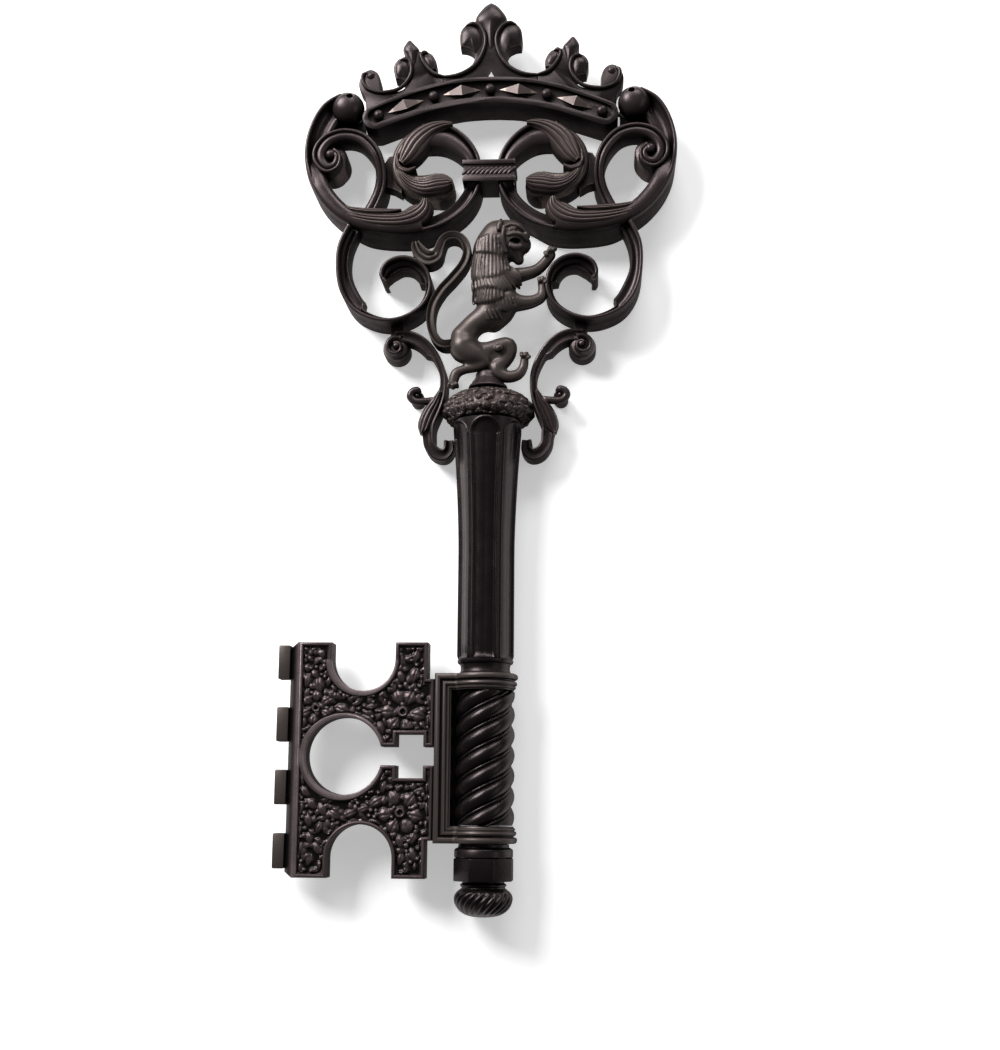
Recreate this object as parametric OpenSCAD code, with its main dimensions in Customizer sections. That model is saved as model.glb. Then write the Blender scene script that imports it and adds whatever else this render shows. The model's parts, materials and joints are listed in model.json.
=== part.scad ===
// Skeleton key wall plaque: a crowned scroll bow with a rampant lion, a fluted shank, and a bit
// beside a twisted barrel. The front faces -Y and the wall is the plane y = 0.
// Heights in the source run up from the foot of the end knob, and the origin of the finished
// part is the middle of its two wall screw holes, on the wall.

/* [Stem] */
// Distance from the wall to the axis of the shank
axis_out = 19; // [17:0.5:24]
// Height of the gadrooned end knob
knob_h = 18; // [14:1:26]
// Radius of the end knob at its widest
knob_r = 18.2; // [12:0.1:18.5]
// Height of the neck above the end knob
knob_neck_h = 3.5; // [2:0.5:8]
// Radius of the neck above the end knob
knob_neck_r = 13; // [9:0.5:15]
// Height of the eight-sided collar
octagon_h = 14; // [8:1:24]
// Radius of the eight-sided collar across its flats
octagon_r = 18; // [14:0.2:18.5]
// Height of the plain ring above the eight-sided collar
ring_h = 8.5; // [4:0.5:14]
// Radius of the plain ring
ring_r = 18.2; // [14:0.2:18.6]
// Height of the neck between the bit frame and the shank
neck_h = 6; // [3:0.5:12]
// Radius of that neck
neck_r = 16; // [12:0.5:17]
// Length of the fluted shank
shank_len = 157; // [110:1:220]
// Radius of the shank at its foot
shank_r = 18; // [15:0.2:18.6]
// How much wider the shank is at its top
shank_flare = 4.6; // [0:0.2:6]
// Number of flutes round the shank
flutes = 6; // [4:1:10]
// Depth of a flute
flute_depth = 2.2; // [0.8:0.1:3]
// Width of the rib that stands between two flutes at the foot
flute_rib = 4.4; // [2:0.2:6]
// Diameter of the rod that draws the stem together
rod_d = 8; // [5:0.5:10]

/* [Bit] */
// Inside height of the frame that holds the barrel
window_h = 83; // [60:1:110]
// Height of each moulded end ring of the frame
frame_ring_h = 11; // [7:0.5:16]
// Radius of the moulded end rings
frame_ring_r = 20.8; // [19:0.2:23]
// Width of the upright bar of the frame
frame_bar_w = 10.5; // [6:0.5:14]
// Thickness of the upright bar, from front to back
frame_bar_t = 22; // [14:1:30]
// Outer radius of the twisted barrel
barrel_r = 18.8; // [15:0.2:19]
// Number of strands in the twist
strands = 6; // [4:1:10]
// Height that one strand climbs in a full turn
twist_lead = 73; // [50:1:110]
// Depth of the hollow between two strands
strand_depth = 2.4; // [1:0.2:4]
// Width of the bit plate
plate_w = 86.5; // [70:0.5:110]
// Height of the bit plate
plate_h = 145.5; // [120:0.5:170]
// Thickness of the bit plate
plate_t = 16; // [10:1:24]
// Width of the plain border round the bit plate
plate_border = 3; // [2:0.5:5]
// Depth of the sunk ground inside the border
plate_sunk = 2.2; // [1:0.2:4]
// Radius of the round ward hole in the bit plate
ward_r = 24; // [16:0.5:27]
// Half width of the bays cut in the top and bottom of the bit plate
bay_r = 20.2; // [12:0.2:21]
// Height of the keyhole slot beside the ward hole
slot_h = 11.6; // [6:0.2:16]
// Width of the cross arm of the keyhole slot
cross_w = 17; // [10:0.5:19]
// Height of the cross arm of the keyhole slot
cross_h = 27.2; // [16:0.2:34]
// Number of ward teeth
teeth = 4; // [2:1:6]
// Height of a ward tooth
tooth_h = 21.5; // [12:0.5:26]
// How far a ward tooth stands out
tooth_out = 7.5; // [4:0.5:14]
// Thickness of a ward tooth
tooth_t = 10; // [5:0.5:14]
// Distance between the middles of neighbouring ward teeth
tooth_pitch = 39; // [28:0.5:45]

/* [Scrolls] */
// Distance from the wall to the front rim of the scrolls
scroll_depth = 28; // [22:0.5:34]
// Width of the raised rim along the outside of a scroll
rim_w = 2.6; // [1.6:0.2:3.6]
// Depth of the cove behind the rim
cove_depth = 6; // [2:0.5:9]
// Distance from the wall to the back of a scroll's web
web_back = 8; // [4:0.5:11]
// Width of the heart scroll's band
heart_w = 11.4; // [9:0.2:12.4]
// Width of the side volute's band
volute_w = 8; // [6:0.2:8.8]
// Width of the lower scroll's band
lower_w = 9; // [7:0.2:9.8]
// Width of the bracket scroll's band
bracket_w = 8; // [6:0.2:8.6]
// Distance from the wall to the front of the bracket scroll
bracket_depth = 20; // [14:0.5:26]
// Width of the acanthus stem
acanthus_w = 10; // [8:0.2:10.8]
// Width of the leaf that lies on the foot of the heart scroll
leaf_w = 13; // [10:0.5:14]
// How far leaves stand in front of the rims
leaf_proud = 3; // [1:0.5:6]
// Radius of the shoulder ball
ball_r = 11; // [8:0.5:12]
// Diameter of the wall screw hole through each shoulder ball
screw_hole_d = 4.5; // [3:0.1:6]
// Distance between the two wall screw holes
screw_spacing = 190; // [186:0.5:196]
// Height of the rope collar that binds the heart
collar_h = 15; // [10:0.5:20]
// Half the width of the rope collar
collar_half = 17; // [16:0.2:20]
// How far the rope collar stands in front of the rims
collar_proud = 3; // [1:0.5:6]
// Diameter of the hidden rivets
rivet_d = 3.2; // [2:0.2:4]

/* [Crown] */
// Distance from the wall to the front of the crown band
band_depth = 27; // [22:0.5:33]
// Height of the crown band
band_w = 18.6; // [15:0.2:20]
// Width of the lower rim of the crown band
band_low_rim = 4; // [2:0.2:5]
// Width of the upper rim of the crown band
band_top_rim = 2.6; // [1.6:0.2:4]
// Depth of the recess in the front of the crown band
band_recess = 3.2; // [1.5:0.1:5]
// Radius of a pearl
pearl_r = 3.6; // [2:0.1:4.2]
// Length of a lozenge
lozenge_l = 26; // [16:0.5:28]
// Height of a lozenge
lozenge_w = 8.6; // [5:0.2:9.4]
// How far the point of a lozenge stands out
lozenge_out = 4; // [2:0.2:6]
// Thickness of the cresting
crest_t = 12; // [6:0.5:16]
// Distance from the wall to the back of the cresting
crest_back = 12; // [8.5:0.5:14]

/* [Lion and capital] */
// Radius of the capital at its widest
capital_r = 30.4; // [26:0.2:31]
// Height of the capital
capital_h = 23; // [18:0.5:28]
// Distance from the wall to the axis of the capital's dome
capital_out = 12; // [8:0.5:16]
// Height of the plinth knob between the lion's feet
plinth_h = 12.5; // [6:0.5:14]
// Radius of the plinth ring
plinth_r = 8; // [6:0.5:10]
// Distance from the wall to the middle of the lion
lion_out = 21; // [18:0.5:24]
// Width of the lion's tail
tail_w = 5.4; // [4:0.2:6]
// Thickness of the lion's tail, from front to back
tail_t = 15; // [8:0.5:18]

/* [Hanger] */
// Diameter of the hanging ring's wire
wire_d = 2.6; // [1.6:0.1:3]
// Radius of the hanging ring's bow
hanger_bow_r = 10; // [9.6:0.1:10.6]
// Width of the hanger strap
strap_w = 12; // [8:0.5:13]
// Thickness of the hanger strap
strap_t = 1.5; // [1:0.1:2]

/* [Clearances] */
// Gap left at every seated or brazed joint
seat_gap = 0.2; // [0.1:0.05:0.3]
// Gap round the rod, the rivets and the ring's bar
run_gap = 0.08; // [0.05:0.01:0.1]

/* [Hidden] */
$fn = 48;

// Colours of the antiqued castings and of the plain steel parts
bronze = [0.10, 0.08, 0.09];
bronze_rubbed = [0.24, 0.21, 0.18];
steel = [0.45, 0.45, 0.47];

// Steps that a curve takes between two of its points
curve_steps = 4;
// Small overlap that makes a cut run past a face
past = 0.5;

// Heights up the stem
neck_z = knob_h;
octagon_z = neck_z + knob_neck_h;
ring_z = octagon_z + octagon_h;
frame_z = ring_z + ring_h;
window_z = frame_z + frame_ring_h;
frame_top = window_z + window_h + frame_ring_h;
shank_z = frame_top + neck_h;
shank_top = shank_z + shank_len;
rod_hole_d = rod_d + 2 * run_gap;

// The outlines of the bow are drawn for a shank that ends at this height, and ride with its top
bow_datum = 312;
bow_lift = shank_top - bow_datum;

// Height of the wall screw holes, which is also the height of the part's origin
screw_z = 538.5;
origin_z = screw_z + bow_lift;

// Middle of the left shoulder ball, which lies round its screw hole
ball_past_hole = 2;
ball_at = [-screw_spacing / 2 - ball_past_hole, 533];

// Centre lines, as x, height and share of the full width, drawn for the left half
heart_line = [[ball_at.x - 2, 538.5, 0.75], [ball_at.x - ball_r, 529.5, 1.25], [-115, 516, 1.28],
    [-118.6, 500, 1.12], [-116.6, 483, 1.05], [-108.5, 467.5, 1.05], [-95.5, 455, 1.02], [-78, 448.4, 1],
    [-60, 446.4, 1], [-45, 447.4, 1], [-31, 452, 1], [-19.5, 460.5, 1], [-12.6, 471, 0.95],
    [-10.5, 482.5, 0.9], [-11.8, 493, 0.92], [-18, 501.6, 1.15], [-26.5, 508, 1.35],
    [-35.2, 510.8, 1.45], [-44.5, 510.2, 1.35]];
// The outside of the heart's foot is drafted: it runs lower at the wall than at the front
heart_foot_line = [[-86.5, 446, 0.3], [-79, 442.9, 0.5], [-69, 441.2, 0.5], [-58, 439.9, 0.5],
    [-50, 439.8, 0.5], [-41, 442.4, 0.3]];
heart_foot_out = 9;
// Web that closes the corner between the shoulder ball, the heart and the crown band
shoulder_web = [[-110, 512], [-87.5, 512], [-87.5, 527], [ball_at.x, ball_at.y], [-110, 528]];
acanthus_line = [[-45.5, 512.6, 1], [-53.5, 508.2, 1.1], [-59, 500.3, 1.15], [-61, 491, 1.1],
    [-58.6, 482.6, 1.15], [-51.5, 477.4, 1.4], [-43, 475.6, 1.7], [-35, 476, 1.9]];
acanthus_ball = [-33.6, 476, 9.8];
acanthus_lug = [[-60, 473], [-66, 476.5], [-73, 478.5], [-74, 486], [-73, 492], [-69, 499], [-64, 500.5],
    [-59, 497]];
volute_line = [[-86, 451, 1.1], [-79, 463.5, 1], [-74, 476, 0.95], [-73.6, 488, 0.9],
    [-77.8, 499.5, 1], [-86.5, 509, 1], [-98, 512.2, 1], [-108.5, 509.2, 1.05], [-114.4, 502, 1.15],
    [-114.8, 494.5, 1.15], [-110, 488.6, 1.05], [-104.2, 490.2, 0.9], [-102.6, 496, 0.75],
    [-106, 500.2, 0.6]];
volute_head = [-108.3, 497.2, 11.8];
volute_eye = [-107.4, 497.8, 3.1];
leaf_line = [[-106, 464, 0.25], [-97, 456, 0.6], [-84, 451.8, 0.85], [-70, 449.8, 1],
    [-58, 449.8, 1.12], [-49, 452.8, 1.4], [-43.6, 458, 1.1], [-42.6, 463.5, 0.5]];
lower_line = [[-91, 446, 0.9], [-96.5, 432, 0.95], [-97.2, 417, 0.95], [-93.6, 403.6, 1.2],
    [-86.8, 392.5, 1.2], [-77.2, 386.2, 1.1], [-66, 383.5, 0.95], [-54.5, 386.3, 0.95],
    [-45.5, 393, 0.95], [-41.6, 402.5, 0.95], [-43.3, 412.5, 0.95], [-49.5, 419, 0.95],
    [-58, 420.7, 1], [-65.5, 417.4, 1.05], [-69.2, 412.2, 0.72], [-69.3, 408.4, 0.25]];
bracket_line = [[-62, 372, 0.85], [-52, 371.4, 1], [-43.6, 366.8, 1], [-36.6, 358.4, 0.95],
    [-31.9, 348.3, 0.88], [-30.7, 340, 0.85], [-32, 331, 1], [-35.2, 322.5, 1.15],
    [-39.4, 313, 1.25], [-39, 305, 1], [-38, 298.2, 0.95], [-34, 292.8, 1], [-28.8, 291.4, 1],
    [-25.4, 295, 0.9], [-25.4, 301, 0.8]];
bracket_head = [-61.6, 364.8, 9];
bracket_lug = [[-67, 370], [-55, 370], [-55, 384], [-67, 384]];
bracket_curl_line = [[-36, 327, 0.9], [-41, 328.2, 0.8], [-46.6, 328.8, 0.7]];
bracket_curl = [-47.6, 330.2, 5];
tail_line = [[-19, 365, 1], [-29.5, 364, 1], [-35.3, 370, 1], [-37.8, 380, 1], [-36.4, 391, 1],
    [-31, 401, 1], [-23.6, 409.5, 1], [-17.4, 417.5, 1], [-14.4, 425, 1], [-15, 432, 1],
    [-19, 437.3, 1], [-25, 438.6, 1], [-30, 436, 1], [-32.6, 430, 1], [-35, 424.5, 1.4],
    [-40, 423, 1.75], [-44.6, 426, 1.65], [-47.6, 431.5, 1.1], [-48.6, 435.4, 0.4]];
band_line = [[ball_at.x + 19.5, 523.8, 0.92], [-62, 530, 0.96], [-42, 536.6, 1], [-21, 540.8, 1],
    [0, 542, 1], [21, 540.8, 1], [42, 536.6, 1], [62, 530, 0.96], [-ball_at.x - 19.5, 523.8, 0.92]];
collar_z = 482.5;

// Outline of the middle of the cresting, from its tip down to the band, right side
fleur_tip = [[0, 608.5], [4.2, 606], [8.4, 601], [10.6, 597], [10.8, 594]];
fleur_lobe = [[10.8, 594], [16.2, 593], [20.2, 588.8], [21.4, 583], [20.8, 575.8]];
fleur_arm = [[20.8, 575.8], [16.4, 575], [12.4, 572.6], [10.9, 568.6], [12.8, 563], [17.8, 558.4],
    [24.2, 555.5], [31.8, 554.4]];
// Outline of the left cresting, from the inner arm over the side fleur to the end curl
side_inner = [[-32.2, 554.4], [-37.5, 555.8], [-40.6, 559], [-37.2, 560.2]];
side_inner_lobe = [[-37.2, 560.2], [-37, 565], [-40.4, 571.4], [-45.6, 573.2], [-49.4, 573.6]];
side_tip = [[-49.4, 573.6], [-52.6, 578.2], [-55.8, 581.6], [-58.2, 577.8], [-58.6, 569.6]];
side_outer_lobe = [[-58.6, 569.6], [-63.4, 568], [-66.5, 562.6], [-65, 553.6]];
side_arm = [[-65, 553.6], [-60.6, 552.8], [-57.2, 550], [-59.2, 546.4], [-64.6, 544.2],
    [-74.4, 543.8]];
end_curl = [[-74.4, 543.8], [-74.8, 551.8], [-77.2, 558.2], [-82, 561], [-87.2, 558.6],
    [-90, 551.8], [-89, 545.4], [-85.6, 539.6], [-84.6, 531]];
// Foot of the side cresting, inside the crown band
side_foot = [[-70, 525], [-32.2, 535]];
// Small round gap in the middle of the cresting
fleur_gap = [0, 555, 2.4];

// Rivets that cross the joints: x, height, turn from upright, length
rivets = [[-91, 444, 12, 12], [-77.6, 455.5, -20, 12], [-71, 485, 90, 9], [-60.6, 379.4, 0, 12],
    [ball_at.x + 8.6, ball_at.y - 6, 70, 14], [-62, 541, 18, 14], [-20, 551.4, 0, 12]];
rivet_out = 15;
// A lug that carries a rivet stands this far past the middle of it
lug_out = rivet_out + rivet_d / 2 + 1;

// Curves and bands
function catmull(a, b, c, d, t) =
    0.5 * (2 * b + (c - a) * t + (2 * a - 5 * b + 4 * c - d) * t * t + (3 * b - a - 3 * c + d) * t * t * t);

function curve(k, n = curve_steps) = [
    for (i = [0:len(k) - 2])
        for (j = [0:n - 1])
            catmull(k[max(i - 1, 0)], k[i], k[i + 1], k[min(i + 2, len(k) - 1)], j / n),
    k[len(k) - 1]
];

function heading(p, i) =
    let (d = p[min(i + 1, len(p) - 1)] - p[max(i - 1, 0)], m = norm([d.x, d.y])) [d.x / m, d.y / m];

// Points beside a line: a share of its half width plus a fixed distance, to the right of its run
function beside(p, w, share, add) = [
    for (i = [0:len(p) - 1])
        let (h = heading(p, i), o = share * w / 2 * p[i].z + add)
            [p[i].x + o * h.y, p[i].y - o * h.x]
];

function backwards(a) = [for (i = [len(a) - 1:-1:0]) a[i]];

// A run of points without its last one, so that runs can follow each other
function open_end(a) = [for (i = [0:len(a) - 2]) a[i]];

// Flat strip between two lines beside a centre line
module strip(k, w, share_a, add_a, share_b, add_b) {
    p = curve(k);
    polygon(concat(beside(p, w, share_a, add_a), backwards(beside(p, w, share_b, add_b))));
}

// Full outline of a band, grown by a gap
module band_outline(k, w, grow = 0) {
    strip(k, w, 1, grow, -1, -grow);
}

module disc(c, grow = 0) {
    translate([c.x, c.y]) circle(r = c.z + grow);
}

// Extrudes a front view between two distances from the wall
module slab(front, back) {
    translate([0, -back, 0]) rotate([90, 0, 0]) linear_extrude(height = front - back) children();
}

// Lifts the bow with the top of the shank
module bow() {
    translate([0, 0, bow_lift]) children();
}

module other_side() {
    mirror([1, 0, 0]) children();
}

// Turns a revolved piece about the axis of the shank
module on_axis(out = axis_out) {
    translate([0, -out, 0]) children();
}

// Everything stays in front of the wall
module in_front() {
    big = 400;
    intersection() {
        children();
        translate([-big, -2 * big, -big]) cube([2 * big, 2 * big, 4 * big]);
    }
}

// Stem
module end_knob() {
    color(bronze) difference() {
        on_axis() rotate_extrude() polygon([
            [0, 0], [knob_r * 0.45, 0.5], [knob_r * 0.82, knob_h * 0.18], [knob_r * 0.96, knob_h * 0.4],
            [knob_r, knob_h * 0.62], [knob_r * 0.94, knob_h * 0.8], [knob_neck_r + 1, knob_h],
            [knob_neck_r, knob_h], [knob_neck_r, octagon_z], [0, octagon_z]
        ]);
        on_axis() translate([0, 0, knob_h * 0.5]) cylinder(d = rod_hole_d, h = octagon_z);
    }
}

module octagon_collar() {
    color(bronze) difference() {
        on_axis() translate([0, 0, octagon_z + seat_gap]) rotate([0, 0, 22.5])
            cylinder(r = octagon_r / cos(22.5), h = octagon_h - seat_gap, $fn = 8);
        on_axis() cylinder(d = rod_hole_d, h = frame_z);
    }
}

module collar_ring() {
    lip = 2;
    color(bronze) difference() {
        on_axis() translate([0, 0, ring_z + seat_gap]) rotate_extrude() polygon([
            [0, 0], [ring_r, 0], [ring_r, ring_h - lip - seat_gap], [ring_r - lip, ring_h - seat_gap],
            [0, ring_h - seat_gap]
        ]);
        on_axis() cylinder(d = rod_hole_d, h = frame_z + past);
    }
}

// Double round moulding of the bit frame
module frame_ring() {
    half = frame_ring_h / 2;
    swell = 1.2;
    on_axis() rotate_extrude() polygon([
        [0, 0], [frame_ring_r - swell, 0], [frame_ring_r, half * 0.35], [frame_ring_r, half * 0.7],
        [frame_ring_r - swell, half], [frame_ring_r, half * 1.3], [frame_ring_r, half * 1.65],
        [frame_ring_r - swell, frame_ring_h], [0, frame_ring_h]
    ]);
}

frame_left = -31;
frame_rail_t = frame_bar_t - 4;
// Thin web along the back of the bar, which closes the slit beside the barrel
frame_web_t = 3.5;
frame_web_grip = 5;
frame_web_out = axis_out - frame_bar_t / 2 + 0.5;
frame_web_right = -sqrt(pow(barrel_r, 2) - pow(axis_out - frame_web_out, 2)) - seat_gap;

module bit_frame() {
    bar_in = frame_left + frame_bar_w;
    color(bronze) difference() {
        in_front() union() {
            translate([0, 0, frame_z + seat_gap]) frame_ring();
            translate([0, 0, window_z + window_h - seat_gap]) frame_ring();
            translate([frame_left, -axis_out - frame_bar_t / 2, frame_z + seat_gap])
                cube([frame_bar_w, frame_bar_t, frame_top - frame_z - 2 * seat_gap]);
            for (z = [frame_z + seat_gap, window_z + window_h - seat_gap])
                translate([bar_in - past, -axis_out - frame_rail_t / 2, z])
                    cube([-bar_in + past, frame_rail_t, frame_ring_h]);
            translate([bar_in - frame_web_grip, -frame_web_out, frame_z + seat_gap])
                cube([
                    frame_web_grip - bar_in + frame_web_right,
                    frame_web_t,
                    frame_top - frame_z - 2 * seat_gap
                ]);
        }
        on_axis() cylinder(d = rod_hole_d, h = shank_top);
        bit_screw_holes(rivet_d + 2 * run_gap);
        slot_cut(frame_left - past, frame_left + 1.5);
    }
}

// One strand of the twist is a round lobe of this outline
module barrel_outline() {
    side_steps = 8;
    polygon([
        for (i = [0:strands * side_steps - 1])
            let (a = 360 * i / (strands * side_steps),
                r = barrel_r - strand_depth * pow(abs(cos(a * strands / 2)), 3))
                [r * cos(a), r * sin(a)]
    ]);
}

module twist_barrel() {
    body_h = window_h - 2 * seat_gap;
    color(bronze) difference() {
        in_front() on_axis() translate([0, 0, window_z + seat_gap])
            linear_extrude(height = body_h, twist = -360 * body_h / twist_lead, slices = 28)
                barrel_outline();
        on_axis() cylinder(d = rod_hole_d, h = shank_top);
    }
}

// Bit
plate_right = frame_left - seat_gap;
plate_bevel_w = 5.8;
plate_left = plate_right - plate_w - plate_bevel_w;
plate_mid_z = frame_z + frame_ring_h + window_h / 2;
plate_low = plate_mid_z - plate_h / 2 - 1;
ward_from_left = 35.8;
ward_x = plate_left + ward_from_left;
ward_z = plate_mid_z + 0.8;
bay_from_left = 47;
bay_deep = 32.5;
bay_x = plate_left + bay_from_left;
pillar_in = 4.6;
pillar_right = plate_right - pillar_in;
cross_from_pillar = 2;
cross_left = pillar_right - cross_w - cross_from_pillar;

module ward_cut(grow = 0) {
    translate([ward_x, ward_z]) circle(r = ward_r + grow);
    translate([ward_x, ward_z - slot_h / 2 - grow])
        square([plate_right - ward_x + past - grow, slot_h + 2 * grow]);
    translate([cross_left - grow, ward_z - cross_h / 2 - grow])
        square([cross_w + 2 * grow, cross_h + 2 * grow]);
}

module bay_cut(grow = 0) {
    for (s = [-1, 1]) {
        z = plate_mid_z + s * (plate_h / 2 + 1);
        round_z = z - s * (bay_deep - bay_r);
        translate([bay_x, round_z]) circle(r = bay_r + grow);
        translate([bay_x - bay_r - grow, min(round_z, z) - past])
            square([2 * bay_r + 2 * grow, abs(z - round_z) + 2 * past]);
    }
}

module plate_outline(inset = 0) {
    shoulder = 23;
    difference() {
        translate([plate_left + inset, plate_low + inset])
            square([
                plate_right - plate_left - inset - (inset > 0 ? plate_border : 0),
                plate_h - 2 * inset
            ]);
        ward_cut(inset);
        bay_cut(inset);
        for (z = [plate_low - past, plate_low + plate_h - shoulder])
            translate([pillar_right - inset, z])
                square([plate_right - pillar_right + inset + past, shoulder + past]);
    }
}

module slot_cut(from, to) {
    translate([from, -axis_out - frame_bar_t, ward_z - slot_h / 2])
        cube([to - from, 2 * frame_bar_t, slot_h]);
}

// Holes for the two screws that go through the frame's bar into the bit
bit_screw_grip = 9;
bit_screw_pitch = 60;
bit_screw_skin = 3;

module bit_screw_holes(d) {
    for (s = [-1, 1])
        translate([frame_left - bit_screw_grip, -axis_out, plate_mid_z + s * bit_screw_pitch / 2])
            rotate([0, 90, 0]) cylinder(d = d, h = bit_screw_grip + frame_bar_w - bit_screw_skin);
}

module bit_plate() {
    front = axis_out + plate_t / 2;
    color(bronze_rubbed) difference() {
        slab(front, front - plate_t) plate_outline();
        slab(front + past, front - plate_sunk) plate_outline(plate_border);
        bit_screw_holes(rivet_d + 2 * run_gap);
    }
}

module bit_teeth() {
    first = ward_z - tooth_pitch * (teeth - 1) / 2;
    color(bronze) for (i = [0:teeth - 1])
        translate([
            plate_left - tooth_out - seat_gap,
            -axis_out - tooth_t / 2,
            first + i * tooth_pitch - tooth_h / 2
        ])
            cube([tooth_out, tooth_t, tooth_h]);
}

module bit_screws() {
    color(steel) bit_screw_holes(rivet_d);
}

module shank_neck() {
    color(bronze) difference() {
        on_axis() translate([0, 0, frame_top + seat_gap]) cylinder(r = neck_r, h = neck_h - 2 * seat_gap);
        on_axis() cylinder(d = rod_hole_d, h = shank_top);
    }
}

// Radius of the shank at a share of its length
function shank_radius(t) = shank_r + shank_flare * pow(max(0, (t - 0.45) / 0.55), 1.6);

module shank_profile(grow, low, high) {
    steps = 12;
    polygon(concat(
        [[0, low]],
        [for (i = [0:steps]) let (t = i / steps) [shank_radius(t) + grow, low + t * (high - low)]],
        [[0, high]]
    ));
}

// Front view of one flute with its round head
module flute_window() {
    side = 3.14159 * 2 / flutes;
    foot = (shank_r * side - flute_rib) / 2;
    head = ((shank_r + shank_flare) * side - flute_rib) / 2 * 0.96;
    foot_z = shank_z + 6;
    head_z = shank_top - head - 1;
    polygon([[-foot, foot_z], [foot, foot_z], [foot, foot_z + shank_len * 0.5], [head, head_z],
        [-head, head_z], [-foot, foot_z + shank_len * 0.5]]);
    translate([0, head_z]) circle(r = head);
}

module shank() {
    color(bronze) in_front() on_axis() difference() {
        rotate_extrude() shank_profile(0, shank_z, shank_top - seat_gap);
        for (i = [0:flutes - 1]) intersection() {
            rotate([0, 0, 360 * i / flutes]) rotate([90, 0, 0])
                linear_extrude(height = 2 * shank_r) flute_window();
            difference() {
                rotate_extrude() shank_profile(2, shank_z, shank_top);
                rotate_extrude() shank_profile(-flute_depth, shank_z, shank_top);
            }
        }
        cylinder(d = rod_hole_d, h = shank_top);
    }
}

nut_h = 6.5;
nut_r = 7.5;
washer_t = 1.6;
washer_r = 8.5;
pocket_r = 9.5;
nut_z = shank_top + 8;

module capital_body(grow = 0) {
    on_axis(capital_out) rotate_extrude() polygon([
        [0, shank_top - grow], [capital_r * 0.76 + grow, shank_top - grow],
        [capital_r * 0.92 + grow, shank_top + capital_h * 0.16],
        [capital_r + grow, shank_top + capital_h * 0.38],
        [capital_r * 0.93 + grow, shank_top + capital_h * 0.62],
        [capital_r * 0.75 + grow, shank_top + capital_h * 0.86],
        [capital_r * 0.5, shank_top + capital_h + grow],
        [0, shank_top + capital_h + grow]
    ]);
}

module capital() {
    color(bronze) difference() {
        in_front() capital_body();
        on_axis() cylinder(d = rod_hole_d, h = shank_top + capital_h + past);
        on_axis() translate([0, 0, nut_z]) cylinder(r = pocket_r, h = capital_h);
    }
}

module rod_nut() {
    color(steel) on_axis() difference() {
        union() {
            translate([0, 0, nut_z]) cylinder(r = washer_r, h = washer_t);
            translate([0, 0, nut_z + washer_t]) cylinder(r = nut_r, h = nut_h, $fn = 6);
        }
        cylinder(d = rod_hole_d, h = nut_z + washer_t + nut_h + past);
    }
}

rod_top = shank_top + capital_h + plinth_h * 0.5;

module tie_rod() {
    color(steel) on_axis() translate([0, 0, knob_h * 0.5]) cylinder(d = rod_d, h = rod_top - knob_h * 0.5);
}

module plinth_body(grow = 0) {
    base = shank_top + capital_h + seat_gap;
    on_axis() rotate_extrude() polygon([
        [0, base], [plinth_r * 1.6 + grow, base], [plinth_r * 1.6 + grow, base + plinth_h * 0.1],
        [plinth_r * 1.3 + grow, base + plinth_h * 0.35], [plinth_r + grow, base + plinth_h * 0.8],
        [plinth_r * 0.6 + grow, base + plinth_h + grow],
        [0, base + plinth_h + grow]
    ]);
}

module lion_plinth() {
    color(bronze) difference() {
        plinth_body();
        on_axis() cylinder(d = rod_hole_d, h = rod_top + 0.5);
    }
}

// Lion, as chains of x, distance in front of its middle plane, height and radius
lion_torso = [[6, 2, 438, 11.5], [1.5, 1, 430, 12], [1, 0, 420, 12.2], [3, 0, 410, 13], [4.4, 0, 400, 13.8],
    [4, 0, 389, 12.8], [1, 1, 381, 11.4], [-5, 1, 374, 10.4], [-13, 1, 366.4, 11.6]];
lion_head = [[6, 2, 438, 11.5], [15, 4, 437, 11.6], [16.4, 5, 434.4, 10.4]];
lion_jaw = [[14, 4, 430, 8.6], [17.6, 4, 426, 5.6]];
lion_high_arm = [[10, 3, 409, 8], [20, 3, 411, 5.6], [30, 3, 413.6, 4.6], [36, 3.4, 418, 4.1],
    [41, 4, 424.4, 3.8]];
lion_low_arm = [[12, 4, 394, 9], [22, 4, 394, 6.2], [32, 3, 396.4, 4.4], [35.4, 3, 401, 3.6],
    [35, 3, 406, 3.2]];
lion_left_leg = [[-13, 1, 366.4, 11.6], [-14, 2, 361, 8], [-8, 3, 357, 6.4], [-3, 3, 353, 5],
    [-8, 3, 349, 4], [-15, 3, 347, 3.4], [-21, 3, 344.4, 4], [-22.4, 3, 337.4, 3.6]];
lion_right_leg = [[-6, 0, 364.6, 8], [2, 1, 365.4, 6.4], [10, 1, 364.2, 6.2], [13, 1, 361, 6],
    [10.4, 1, 355, 5.6], [8, 2, 349, 5], [9, 2, 344.4, 5], [15, 2, 342.2, 4.8], [21, 2, 345, 4.2],
    [23.4, 2, 351, 3], [23.6, 2, 355, 2.8]];
lion_ears = [[6.4, 5, 446, 3], [7.4, 6, 448.2, 1.6]];

module chain(c) {
    for (i = [0:len(c) - 2]) hull() for (p = [c[i], c[i + 1]])
        translate([p[0], -lion_out - p[1], p[2]]) sphere(r = p[3], $fn = 16);
}

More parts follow.
